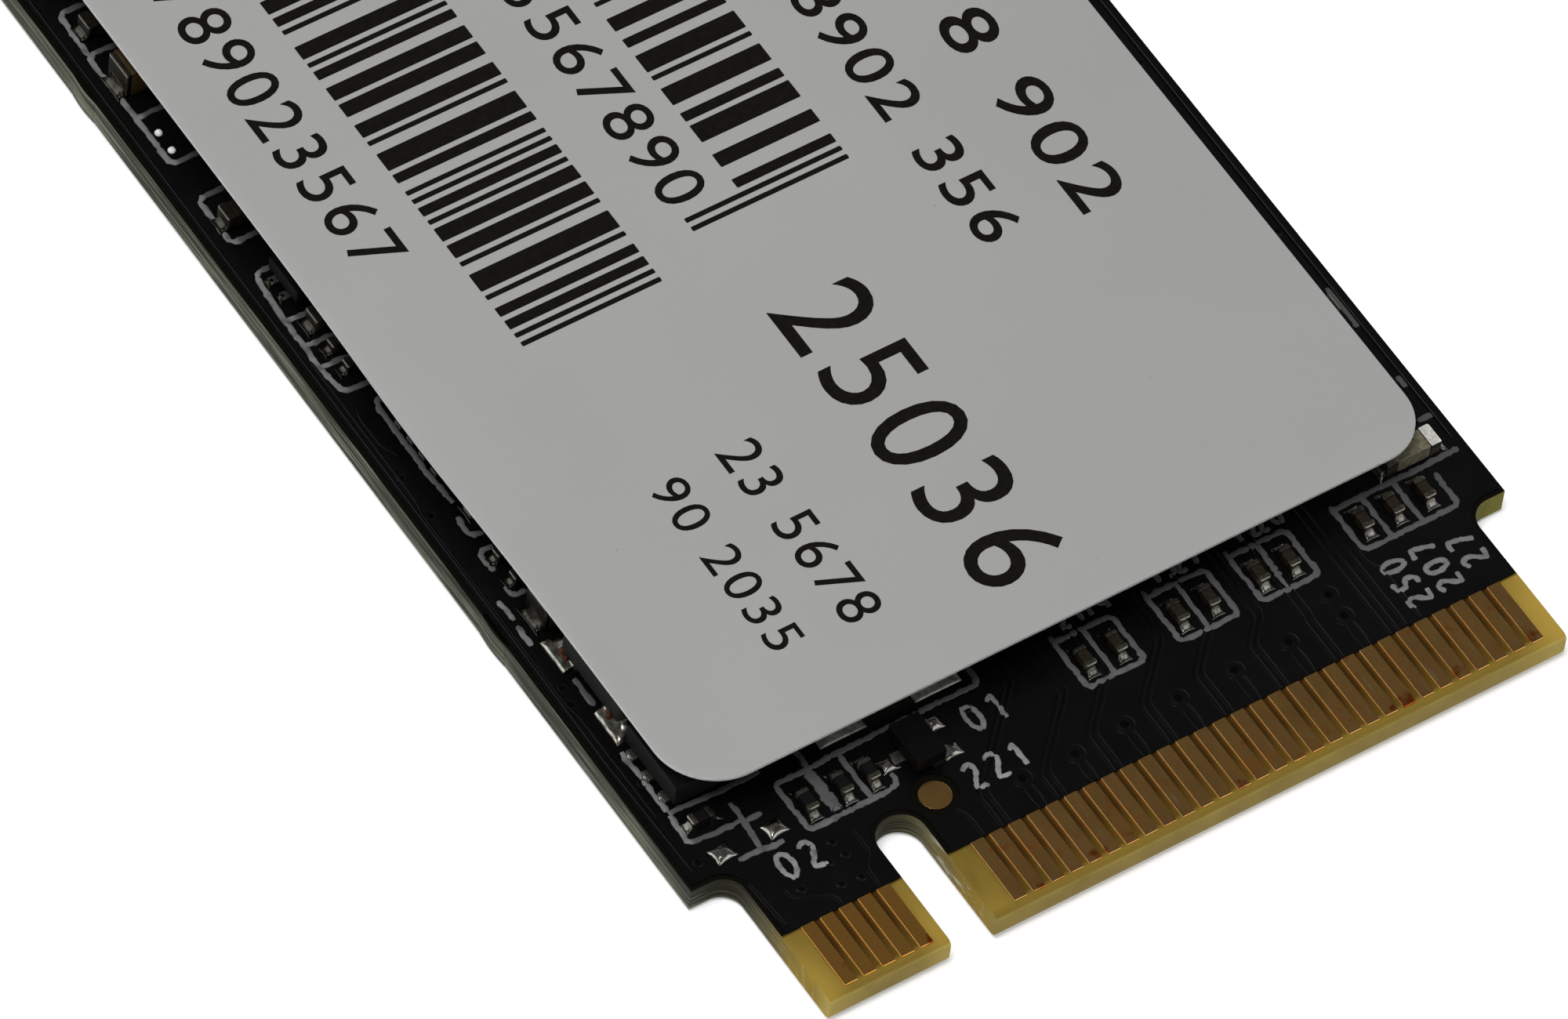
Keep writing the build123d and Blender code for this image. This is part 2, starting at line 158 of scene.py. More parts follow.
# Printed numbers: text, place of its lower left corner, height of a digit and turn in degrees
ink_numbers = (
    ("02", (-9.0, 3.14), 0.76, 0),
    ("221", (-4.05, 3.12), 0.7, 0),
    ("01", (-3.2, 4.42), 0.74, 0),
    ("250", (7.86, 2.3), 0.62, 90),
    ("207", (8.72, 2.34), 0.62, 90),
    ("27", (9.6, 2.6), 0.64, 90),
    ("21", (0.05, 5.78), 0.5, 0),
    ("14", (0.72, 5.78), 0.5, 0),
    ("15", (2.55, 5.78), 0.5, 0),
    ("27", (3.2, 5.78), 0.5, 0),
    ("12", (4.8, 5.78), 0.5, 0),
    ("20", (5.45, 5.78), 0.5, 0),
)
digit_strokes = {
    "0": (((0.28, 0), (0.06, 0.2), (0.06, 0.8), (0.28, 1), (0.5, 0.8), (0.5, 0.2), (0.28, 0)),),
    "1": (((0.12, 0.74), (0.34, 1), (0.34, 0)),),
    "2": (((0.05, 0.8), (0.24, 1), (0.47, 0.86), (0.44, 0.58), (0.06, 0), (0.54, 0)),),
    "4": (((0.42, 0), (0.42, 1), (0.04, 0.32), (0.56, 0.32)),),
    "5": (((0.48, 1), (0.1, 1), (0.08, 0.56), (0.34, 0.6), (0.5, 0.34), (0.32, 0), (0.06, 0.06)),),
    "7": (((0.05, 1), (0.52, 1), (0.22, 0)),),
}
digit_advance = 0.84

# Track pairs that leave the contacts: the first one's place, their pitch, each one's bend and step sideways,
# where they end, and half the gap in a pair
pair_first_x = -3.95
pair_pitch = 1.5
pair_bends = (
    (3.0, 2.2), (2.75, 1.6), (3.1, 1.2), (3.19, 1.3), (3.27, 0.92), (3.31, 0.6), (3.3, 0.05), (3.3, 0.0),
)
pair_end_y = 6.0
pair_half_gap = 0.105
# Large vias, all but the last on a broad neck, and small ones
ring_vias = (
    (-2.96, 2.88), (-1.56, 2.83), (-0.16, 2.94), (1.3, 2.94), (2.82, 2.95), (4.31, 2.98), (5.81, 2.95),
    (5.83, 3.6),
)
neck_width = 0.3
small_vias = (
    (-8.01, 3.61), (-7.58, 3.56), (-7.5, 3.13), (-7.93, 3.14), (-8.86, 2.83), (-8.02, 2.5), (-7.52, 2.45),
    (-10.51, 10.01), (-10.58, 9.54), (-10.46, 4.56), (-10.37, 6.94), (-10.56, 16.64), (-10.53, 15.44),
    (-2.99, 5.07), (-7.0, 4.2), (10.6, 12.6), (10.55, 18.2), (-10.6, 33.4), (-10.55, 41.2),
)
# Raised tracks along the edges, and single tracks
edge_track_width = 0.07
edge_track_height = 0.03
edge_tracks = (
    ((-10.69, 4.4), (-10.78, 7.8), (-10.76, 10.0), (-10.78, 77.0)),
    ((-10.6, 6.0), (-10.62, 9.2), (-10.7, 9.5), (-10.7, 15.6), (-10.62, 15.9), (-10.62, 20.4)),
    ((-10.4, 18.8), (-10.5, 18.5), (-10.49, 17.6), (-10.3, 17.2)),
    ((10.75, 5.8), (10.76, 77.0)),
)
single_tracks = (
    ((-9.8, 3.5), (-9.69, 2.2)),
    ((-4.72, 2.92), (-4.56, 2.67), (-4.55, 2.02)),
    ((-7.3, 2.05), (-7.3, 2.6), (-7.0, 2.9), (-7.0, 3.6)),
    ((-8.3, 2.05), (-8.3, 2.3), (-9.2, 2.75), (-9.2, 3.0)),
    ((6.9, 2.05), (6.9, 4.9)),
    ((7.3, 2.05), (7.3, 3.6), (7.1, 3.9), (7.1, 4.9)),
)

# Far end and underside: plain footprints, numbers, tracks and vias
far_boxes_y = (35.2, 42.6, 50.1, 57.4, 64.9)
far_box_x = (-9.6, -10.42)
far_box_length = 1.6
far_outlines = (
    ((-9.2, 76.0), (-6.4, 76.0), (-6.4, 77.6), (-9.2, 77.6), (-9.2, 76.0)),
    ((-7.8, 76.0), (-7.8, 77.6)),
    ((6.2, 76.2), (8.9, 76.2), (8.9, 77.5), (6.2, 77.5), (6.2, 76.2)),
)
far_numbers = (("20", (-5.9, 76.4), 0.7, 0), ("41", (4.6, 76.5), 0.7, 0))
far_vias = (
    (-9.9, 76.6), (-9.9, 77.4), (9.9, 76.4), (9.9, 77.2),
    (-3.4, 76.2), (3.4, 76.2), (-2.9, 78.2), (2.9, 78.2),
)
under_outlines = (
    ((-6.4, 24.6), (6.4, 24.6), (6.4, 40.4), (-6.4, 40.4), (-6.4, 24.6)),
    ((-6.4, 46.6), (6.4, 46.6), (6.4, 62.4), (-6.4, 62.4), (-6.4, 46.6)),
    ((-5.6, 24.6), (-6.4, 25.4)),
    ((-5.6, 46.6), (-6.4, 47.4)),
)
under_numbers = (("10", (-9.2, 31.0), 0.9, 0), ("20", (-9.2, 53.0), 0.9, 0), ("5", (7.6, 14.0), 0.9, 0))
under_track_first_x = -3.5
under_track_pitch = 1.5
under_track_count = 9
under_bend_y = 5.0
under_shifts = (-0.7, -0.2, 0.3)
under_ends_y = (9.0, 11.1, 13.2, 15.3)
under_rails = (-9.8, -9.3, 9.1, 9.6)
under_rail_y = (9.0, 43.0, 43.4, 70.0)
under_rail_shift = 0.97
under_via_columns = (-4.4, -2.2, 0.0, 2.2, 4.4)
under_via_rows = (27.0, 30.2, 33.4, 36.6, 49.0, 52.2, 55.4, 58.6)

# Print on the label: text, weight of its strokes, baseline, top, start and end of the line
label_lines = (
    ("25036", 0.0, -1.5, 0.92, 15.75, 6.75),
    ("23 5678", 0.0, -4.65, -3.58, 13.05, 7.6),
    ("90 2035", 0.0, -6.5, -5.58, 12.95, 7.8),
    ("02356789023567", 0.002, -8.85, -7.55, 35.6, 21.2),
    ("2356789023567890", 0.002, -1.85, -0.62, 36.2, 19.3),
    ("35678902 356", 0.007, 3.85, 5.06, 27.6, 14.88),
    ("3 5678 902", 0.008, 6.34, 7.72, 27.3, 14.5),
)
digit_spacing = 1.14
# Bars: seed, reach along X, start and end along Y, and how far down the guard bars reach
label_bars = (
    (7, (-6.76, -3.02), (17.68, 46.0), -6.76),
    (11, (-0.1, 2.6), (18.5, 44.0), -1.65),
)
bar_widths = (1, 1, 2, 2, 3, 3, 4)
bar_gaps = (1, 1, 1, 1, 2, 2, 3)
guard_bars = 2
bar_module = 0.135

# Edge nibs left by the panel's bridges: side, middle and length, how far they stand out and reach in
edge_nibs = ((-1, 12.08, 1.0), (-1, 29.5, 0.9), (1, 29.5, 0.9), (-1, 58.0, 1.0), (1, 58.0, 1.0))
nib_depth = 0.028
nib_root = 0.1

# Red-brown flux left beside the first inductor: place and radius
flux_spots = ((-10.03, 10.77, 0.14), (-10.09, 10.58, 0.1), (-10.0, 8.88, 0.14), (-10.11, 8.76, 0.1))

# Edge roundings, and the angles past which an edge is rounded, stays sharp or parts two faces
lead_in_bevel = 0.16
board_rounding = 0.03
disc_rounding = 0.015
notch_pad_rounding = 0.012
chip_rounding = 0.03
glaze_rounding = 0.02
end_rounding = 0.022
rounded_angle = math.radians(30)
smooth_angle = math.radians(40)
flat_angle = math.radians(1)
# Points nearer than this are one: in a copy of a CAD node, and after a bevel
copy_merge = 0.0005
bevel_merge = 0.0002
# How near a point lies to an edge or face that it is on
touch = 0.01
contact_touch = 0.002
# A face looks up when its normal rises this far
looks_up = 0.9

# Plated lining of the screw notch
lining_clearance = 0.004
lining_thickness = 0.012
lining_corners = 96
lining_margin = 0.001

# Strokes: features of their unevenness per millimetre, sideways wobble, and the taper of their ends
stroke_grain = 5.5
stroke_wobble = 0.4
stroke_taper = 0.7
digit_ease = 0.12
# Raggedness of the inks, and the distance of the points along each kind of stroke
outline_ragged = 0.55
wide_ragged = 0.35
number_ragged = 0.4
number_step = 0.05
track_step = 0.25
rail_step = 0.5
neck_step = 0.3
# How far tracks and necks end before the middle of their via
track_stop = 0.15
neck_stop = 0.1
# How much denser and lighter the ink of the numbers is; the outlines beside the label take it as painted
# light
dense_share = 1.6

# Vias: radius and hole of the large and small ones, and the depth of the stub that is sunk in the mask
large_via = (0.27, 0.1)
small_via = (0.13, 0.06)
via_stub = 0.02
via_sunk = 0.014
via_corners = 32
# Width and rise of each step of a large via's lip, and of the wall round its hole
via_lip = ((0.04, 0.018), (0.025, 0.0), (0.03, -0.007))
via_wall = (0.02, -0.004)
# Faces up to this share of the hole's radius take the hole's finish
via_hole_share = 1.05

# Grid on the blocks that nibs, small solder and broad solder are shaped from
nib_cuts = 13
small_cuts = 7
broad_cuts = 17
# Unevenness of cooled solder: features per millimetre, and the shift from one joint to the next
ripple_grain = 5.0
ripple_shift = 1.7
# Solder joints: reach from the metal end, its growth with the part's height, and the width beyond the part
joint_reach = 0.17
joint_growth = 0.04
joint_spare = 0.05
# How far the joints climb the parts' height
front_climb = 0.72
side_climb = 0.5
# Lumps on bare pads: half sizes, height, pinch of the sides and sharpness, then their turn and places
lump_power = 0.8
pad_lumps = (
    ((0.27, 0.23, 0.1, 0.1, lump_power), 0.1, ((-9.86, 4.5), (-8.48, 4.49))),
    ((0.24, 0.19, 0.12, 0.08, lump_power), 0.0, ((-3.9, 5.08), (-3.92, 4.28), (-5.37, 4.64))),
)
switch_lump = (0.14, 0.13, 0.13, 0.1, lump_power)
switch_lump_inset = (0.04, 0.11)
# Lands under the crystal: the same sizes, and the distance of their middles from its corners
crystal_land = (0.62, 0.57, 0.03, 0.01, 0.2)
crystal_land_inset = (0.33, 0.27)
# Domes: radius and height, with their places
leg_dome = (0.085, 0.11)
leg_dome_inset = (0.02, 0.15)
pad_dome = (0.098, 0.07)
pad_domes = ((-10.2, 27.02), (-10.2, 27.59))
flux_height = 0.24
# Solder on the inductors' pads: half sizes of a pad, how far it stands out from the core, climb up the core,
# and the rounding of the solder's rim
bank_half_x = 1.12
bank_half_y = 0.49
bank_ledge = 0.36
bank_climb = 0.24
bank_rim = 0.24

# Label: radii of its corners, reach of the sag from its edge and along it, spacing of the cuts for the bend
label_radius = 1.55
front_right_radius = 1.28
corner_segments = 14
sag_reach = 2.3
sag_length = 3.1
sag_cut = 0.3
sag_cuts = 9
length_cut = 0.75
cut_edge = 0.02
cut_edge_angle = math.radians(50)
rim_slope = 0.8
bar_corner = 0.025

# Blends on the bare tongue: places along X, or distances from the tip, where each starts and is full. The
# glows are painted glow of light through the laminate near its tip, ends and key notch
tip_glow = (1.0, 0.0)
lead_in_shade = (0.3, 0.12)
right_glow_x = (8.6, 10.0)
right_glow_y = (3.4, 1.1)
left_glow_x = (-9.3, -9.8)
left_glow_y = (2.4, 0.6)
key_glow_left = (-7.5, -6.9)
key_glow_right = (-6.0, -6.4)
# From the contacts' front ends: where the painted shade and copper reflection in the grooves between them
# start, and where it pales at their front ends
groove_start = (-0.02, 0.12)
groove_end = (1.0, 0.0)
# From the mask's front edge: the stain under it
mask_stain = (-0.06, 0.02)
# On the board's walls, along X or from the tip
right_shoulder = (9.0, 10.6)
worn_notch = (1.3, 3.0)
left_corner = (-9.0, -9.9)
right_corner = (8.2, 9.6)
front_wall = (0.6, 0.05)
key_wall = (-6.4, -5.6)
key_wall_end = (-5.0, -5.2)
key_scuff = (0.4, 0.9)
key_scuff_end = (3.6, 2.6)
long_side = (5.0, 6.4)
left_side = (-10.5, -10.95)
tongue_walls = (3.4, 1.2)
# On the contacts: the short group's tint along X, and the stained ends from the tip
short_group = (-6.5, -7.2)
stained_ends = (1.12, 0.8)
# On the printed ink: the dim right side along X, and where the painted shade by the label's front, rear and
# left edge clears
dim_right = (0.0, 8.0)
clear_front = (-0.2, -2.5)
clear_rear = (0.0, 0.6)
clear_left = (0.0, -0.12)

# Grained finishes: dark and light tone, features per millimetre, roughness, metal share, relief and gloss
grained_finishes = {
    "via_hole": ((0.0004,) * 3, (0.0012,) * 3, 30.0, 0.9, 0.0, 0.004, 0.1),
    "chip_mould": (tone(5, 5, 5), tone(11, 11, 11), 14.0, 0.6, 0.0, 0.004, 0.2),
    "black_mould": (tone(2, 2, 2), tone(6, 6, 6), 14.0, 0.6, 0.0, 0.004, 0.15),
    "dull_tin": (tone(138, 136, 128), tone(184, 182, 174), 16.0, 0.38, 1.0, 0.004, 0.5),
    "solder_ball": (tone(150, 150, 146), tone(190, 190, 186), 9.0, 0.35, 1.0, 0.004, 0.5),
    "pale_ceramic": (tone(150, 146, 134), tone(184, 180, 168), 12.0, 0.6, 0.0, 0.004, 0.5),
    "pressed_core": (tone(18, 18, 18), tone(32, 32, 31), 18.0, 0.65, 0.0, 0.01, 0.25),
    "capacitor_ceramic": (tone(20, 17, 12), tone(38, 31, 21), 13.0, 0.42, 0.0, 0.004, 0.35),
    "large_capacitor_ceramic": (tone(48, 37, 21), tone(72, 55, 33), 13.0, 0.42, 0.0, 0.004, 0.3),
    "resistor_glaze": (tone(7, 7, 7), tone(13, 13, 13), 10.0, 0.36, 0.0, 0.004, 0.35),
    "bead_ceramic": (tone(84, 81, 63), tone(120, 115, 94), 9.0, 0.5, 0.0, 0.004, 0.5),
    "end_metal": (tone(118, 114, 102), tone(160, 156, 142), 15.0, 0.25, 1.0, 0.0015, 0.5),
    # Painted shade: a darker copy of the end metal for the side row beside the label
    "painted_shade_end_metal": (tone(84, 82, 73), tone(116, 113, 103), 15.0, 0.3, 1.0, 0.0003, 0.5),
    # Painted highlight: a bright copy of the end metal for the tops of the bead's ends
    "bead_end_painted_highlight": (tone(178, 177, 172), tone(222, 221, 216), 15.0, 0.34, 0.2, 0.008, 0.5),
    # Painted highlight: near-white solder that stands for glints on small domes
    "painted_highlight_dot_solder": (tone(212, 212, 208), tone(240, 240, 237), 12.0, 0.3, 0.15, 0.003, 0.5),
    "crystal_land_tin": (tone(120, 120, 116), tone(168, 168, 163), 7.0, 0.45, 0.6, 0.01, 0.5),
    "flux_residue": (tone(34, 15, 6), tone(82, 42, 16), 9.0, 0.35, 0.0, 0.004, 0.2),
    # Painted highlight: a lighter tone on the label's cut edge
    "label_cut_edge_painted_highlight": (tone(170, 170, 168), tone(204, 204, 201), 20.0, 0.6, 0.0, 0.004, 0.5),
}
# Solder finishes: dark and light tone, and relief
solder_finishes = {
    "joint_solder": (tone(96, 95, 89), tone(158, 156, 149), 0.012),
    # Painted shade: a darker copy of the joint solder for the side row beside the label
    "painted_shade_solder": (tone(46, 45, 40), tone(88, 86, 79), 0.006),
    "lump_solder": (tone(138, 136, 128), tone(206, 204, 196), 0.009),
    "pad_solder": (tone(92, 89, 76), tone(206, 204, 194), 0.004),
}

# Packages, leads, crystal and inductors: finish, slot, rounding of the edges and the CAD nodes
rounded_packages = (
    ("chip_mould", "chip_mould", 0.05, ("controller_package", "flash_package_1", "flash_package_2")),
    ("chip_mould", "chip_mould", 0.035, ("power_chip_body", "regulator_body", "load_switch_body")),
    ("black_mould", "chip_mould", 0.035, ("transistor_body",)),
    ("dull_tin", "tinned_metal", 0.03,
     ("power_chip_leads", "regulator_leads", "load_switch_leads", "transistor_leads")),
    ("pale_ceramic", "white_ceramic", 0.04, ("crystal_base",)),
    ("dull_tin", "tinned_metal", 0.05, ("crystal_lid",)),
    ("pressed_core", "ferrite", 0.06, ("inductor_core_1", "inductor_core_2")),
)
plain_packages = (
    ("dull_tin", ("inductor_terminals",)),
    ("solder_ball", ("controller_solder_balls", "flash_solder_balls_1", "flash_solder_balls_2")),
)

# Stage: gap under the card, the floor's tone and glow, and the surround's brightness from the horizon up
floor_size = 6.0
floor_gap = 0.05
floor_tone = (0.86, 0.86, 0.86)
floor_glow = 0.3
sky_levels = ((0.0, 0.7), (0.12, 0.5), (0.45, 0.22), (0.7, 0.1))
# Lamps round one point: direction, size, share of the power, and whether they show in metal
lamp_target = (0, -20, 0)
lamp_distance = 0.6
lamps = {
    "lamp_top": ((-0.25, -0.05, 1.0), 0.32, 1.0, False),
    "lamp_front": ((0.35, -0.8, 0.5), 0.4, 0.16, True),
    "lamp_left": ((-0.8, 0.42, 0.4), 0.4, 0.19, True),
    "lamp_right": ((0.79, 0.45, 0.38), 0.3, 0.05, True),
    "lamp_glint": ((-0.3, -0.1, 1.0), 0.16, 0.12, True),
}
sensor_width = 36
clip_range = (0.01, 20)


def length(name, description, default, low, high):
    """Property for a length in millimetres."""
    return bpy.props.FloatProperty(
        name=name, description=description + ", mm", default=default, min=low, max=high)


def paint(name, description, *screen):
    """Property for a colour, given from 0 to 255."""
    return bpy.props.FloatVectorProperty(
        name=name, description=description, subtype="COLOR", default=tone(*screen), min=0, max=1)


class CardSizes(bpy.types.PropertyGroup):
    """Sizes of the dressing, in millimetres."""

    ink_width: length("Ink width", "Width of the printed outlines", 0.155, 0.05, 0.4)
    number_width: length("Number width", "Width of the printed numbers' strokes", 0.138, 0.05, 0.3)
    ink_height: length("Ink height", "How far the printed marks stand off the mask", 0.016, 0.004, 0.05)
    track_width: length("Track width", "Width of the tracks under the mask", 0.11, 0.05, 0.4)
    track_height: length("Track height", "How far the tracks lift the mask", 0.014, 0.004, 0.05)
    label_sag: length("Label sag", "Deepest sag of the label's left edge", 0.25, 0.0, 0.28)
    label_sag_y: length("Sag place", "Where the label's left edge sags, from the tip", 17.0, 12.0, 30.0)
    contact_slope: length("Contact slope", "Width of the slope on the contacts' edges", 0.019, 0.01, 0.036)
    contact_rounding: length("Contact rounding", "Rounding above that slope", 0.012, 0.002, 0.014)
    print_height: length("Print height", "Thickness of the label's print", 0.006, 0.002, 0.02)


class CardColours(bpy.types.PropertyGroup):
    """Main colours of the card."""

    label: paint("Label", "Film of the label", 156, 156, 155)
    print_ink: paint("Print", "Ink of the label's print", 14, 12, 8)
    mask: paint("Mask", "Film on the board's faces", 5, 5, 5)
    board_ink: paint("Board ink", "Printed marks on the board", 105, 105, 105)
    laminate: paint("Laminate", "Bare laminate of the tongue", 137, 114, 49)
    gold: paint("Gold", "Plating of the contacts", 240, 186, 111)


class StageSettings(bpy.types.PropertyGroup):
    """Camera and light."""

    lens: bpy.props.FloatProperty(
        name="Lens", description="Focal length of the camera on a 36 mm sensor", unit="CAMERA",
        default=334.3, min=20, max=600)
    camera_place: bpy.props.FloatVectorProperty(
        name="Camera place", description="Place of the camera, mm", subtype="XYZ",
        default=(-127.258, -176.096, 264.768))
    camera_aim: bpy.props.FloatVectorProperty(
        name="Camera aim", description="Point in the middle of the picture, mm", subtype="XYZ",
        default=(-3.5466, -28.3469, 0.8))
    camera_roll: bpy.props.FloatProperty(
        name="Camera roll", description="Turn of the camera about its line of sight", subtype="ANGLE",
        default=math.radians(8.3329))
    lamp_power: bpy.props.FloatProperty(
        name="Lamp power", description="Power of the main soft lamp", subtype="POWER", default=2.87, min=0.0)


class Finish:
    """A material grown round one shader. Its textures are read in millimetres of the card's frame."""

    def __init__(self, name, colour, roughness, metallic=0.0, gloss=0.5):
        self.material = bpy.data.materials.new(name)
        self.material.use_nodes = True
        self.nodes = self.material.node_tree.nodes
        self.links = self.material.node_tree.links
        self.shader = self.nodes["Principled BSDF"]
        self.set("Base Color", (*colour, 1.0))
        self.set("Roughness", roughness)
        self.set("Metallic", metallic)
        self.set("Specular IOR Level", gloss)
        self.place = self.nodes.new("ShaderNodeTexCoord").outputs["Object"]
        self.axes = None
        self.height = None

    def put(self, socket, value):
        """Link a socket's output or write a plain value."""
        if isinstance(value, bpy.types.NodeSocket):
            self.links.new(value, socket)
        else:
            socket.default_value = value

    def set(self, name, value):
        """Link or write one of the shader's inputs."""
        self.put(self.shader.inputs[name], value)

    def scaled(self, stretch):
        """Place in millimetres, times a stretch along each axis."""
        mapping = self.nodes.new("ShaderNodeMapping")
        mapping.inputs["Scale"].default_value = [s / MM for s in stretch]
        self.links.new(self.place, mapping.inputs["Vector"])
        return mapping.outputs["Vector"]

    def noise(self, grain, stretch=(1, 1, 1), detail=3.0):
        """Cloudy grain, given in features per millimetre."""
        texture = self.nodes.new("ShaderNodeTexNoise")
        texture.inputs["Scale"].default_value = 1.0
        texture.inputs["Detail"].default_value = detail
        self.links.new(self.scaled([grain * s for s in stretch]), texture.inputs["Vector"])
        return texture.outputs["Fac"]

    def specks(self, grain, size):
        """Sparse round specks, 1 inside a speck."""
        texture = self.nodes.new("ShaderNodeTexVoronoi")
        texture.inputs["Scale"].default_value = 1.0
        self.links.new(self.scaled([grain] * 3), texture.inputs["Vector"])
        return self.span(texture.outputs["Distance"], size * grain, 0.6 * size * grain)

    def along(self, axis):
        """Place along one axis, in millimetres."""
        if self.axes is None:
            split = self.nodes.new("ShaderNodeSeparateXYZ")
            self.links.new(self.scaled((1, 1, 1)), split.inputs[0])
            self.axes = split.outputs
        return self.axes[axis]

    def past(self, axis, origin, start, end):
        """0 to 1 between two distances from a place on an axis."""
        return self.span(self.along(axis), origin + start, origin + end)

    def across(self, start, end):
        """0 to 1 between two places along X."""
        return self.past("X", 0.0, start, end)

    def from_tip(self, start, end):
        """0 to 1 between two distances from the connector's tip."""
        return self.past("Y", tip_y, start, end)

    def upward(self):
        """1 on faces that look up or down, 0 on walls."""
        split = self.nodes.new("ShaderNodeSeparateXYZ")
        self.links.new(self.nodes.new("ShaderNodeNewGeometry").outputs["Normal"], split.inputs[0])
        return self.span(self.math("ABSOLUTE", split.outputs["Z"]), 0.55, 0.8)

    def span(self, value, start, end):
        """A value stretched to run from 0 at start to 1 at end."""
        stretch = self.nodes.new("ShaderNodeMapRange")
        self.put(stretch.inputs["Value"], value)
        stretch.inputs["From Min"].default_value = start
        stretch.inputs["From Max"].default_value = end
        return stretch.outputs["Result"]

    def inside(self, value, low, high, soft=0.02):
        """1 between two limits, 0 outside."""
        return self.both(self.span(value, low - soft, low), self.span(value, high + soft, high))

    def math(self, operation, first, *others):
        """A value changed by an operation, or joined with others by it in turn."""
        total = first
        for other in others or (0.0,):
            step = self.nodes.new("ShaderNodeMath")
            step.operation = operation
            self.put(step.inputs[0], total)
            self.put(step.inputs[1], other)
            total = step.outputs["Value"]
        return total

    def both(self, *shares):
        """Product of several shares."""
        return self.math("MULTIPLY", *shares)

    def either(self, *shares):
        """Largest of several shares."""
        return self.math("MAXIMUM", *shares)

    def ramp(self, value, *stops):
        """Colours along a value, as pairs of place and colour."""
        ramp = self.nodes.new("ShaderNodeValToRGB")
        fill_ramp(ramp, stops)
        self.put(ramp.inputs["Fac"], value)
        return ramp.outputs["Color"]

    def mix(self, share, first, second):
        """Blend of two colours."""
        blend = self.nodes.new("ShaderNodeMix")
        blend.data_type = "RGBA"
        self.put(blend.inputs[0], share)
        for socket, colour in ((blend.inputs[6], first), (blend.inputs[7], second)):
            self.put(socket, colour if isinstance(colour, bpy.types.NodeSocket) else (*colour, 1.0))
        return blend.outputs[2]

    def bump(self, height, depth):
        """Relief of a depth in millimetres, laid over what is there."""
        relief = self.nodes.new("ShaderNodeBump")
        relief.inputs["Distance"].default_value = depth * MM
        self.put(relief.inputs["Height"], height)
        if self.height:
            self.links.new(self.height, relief.inputs["Normal"])
        self.height = relief.outputs["Normal"]
        self.set("Normal", self.height)


def fill_ramp(ramp, stops):
    """Set a colour ramp's stops, as pairs of place and colour."""
    elements = ramp.color_ramp.elements
    while len(elements) < len(stops):
        elements.new(0.5)
    for element, (place, colour) in zip(elements, stops):
        element.position = place
        element.color = (*colour, 1.0)


def times(colour, share):
    """A colour made darker or lighter, white at most."""
    return tuple(min(1.0, c * share) for c in colour)


def tongue_top(made, face, cloud, beside_key):
    """Bare top of the tongue: painted glow at its tip and ends, deeper towards the mask, painted shade and
    copper reflection between the contacts.
    """
    # Painted glow of light through the laminate: paler near the tip, deeper away from it
    pale = made.ramp(cloud, (0.3, times(face, 0.9)), (0.7, times(face, 1.1)))
    fibre = made.noise(2.6, (1.0, 0.3, 1.0), 2.0)
    deep = made.ramp(fibre, (0.35, times(face, 0.55)), (0.65, times(face, 0.72)))
    bare = made.mix(made.from_tip(*tip_glow), deep, pale)
    bare = made.mix(made.from_tip(*lead_in_shade), bare, times(face, 0.74))
    # Painted glow at the right end, the left ends and beside the key notch
    right_painted_glow = made.both(made.across(*right_glow_x), made.from_tip(*right_glow_y))
    bare = made.mix(right_painted_glow, bare, times(face, 1.55))
    left_painted_glow = made.both(made.either(made.across(*left_glow_x), beside_key), made.from_tip(*left_glow_y))
    bare = made.mix(left_painted_glow, bare, times(face, 1.2))
    along_x = made.along("X")
    offset = made.math("SUBTRACT", along_x, contact_right)
    gap = made.math("FRACT", made.math("DIVIDE", offset, contact_pitch))
    # Painted shade beside each contact's right edge, warming to a painted reflection of the next contact's
    # copper wall and paler near the front ends
    painted_gap_shade = made.ramp(gap, (0.06, tone(50, 34, 11)), (0.18, tone(58, 40, 13)), (0.26, tone(78, 51, 18)),
                       (0.32, tone(100, 65, 24)))
    near_end = made.past("Y", contact_start, *groove_end)
    painted_gap_shade = made.mix(made.both(near_end, 0.7), painted_gap_shade, tone(98, 77, 28))
    between = made.both(made.past("Y", contact_start, *groove_start),
                        made.either(*[made.inside(along_x, *reach) for reach in contact_reaches]))
    bare = made.mix(between, bare, painted_gap_shade)
    return made.mix(made.past("Y", tip_y + mask_front, *mask_stain), bare, tone(12, 11, 8))


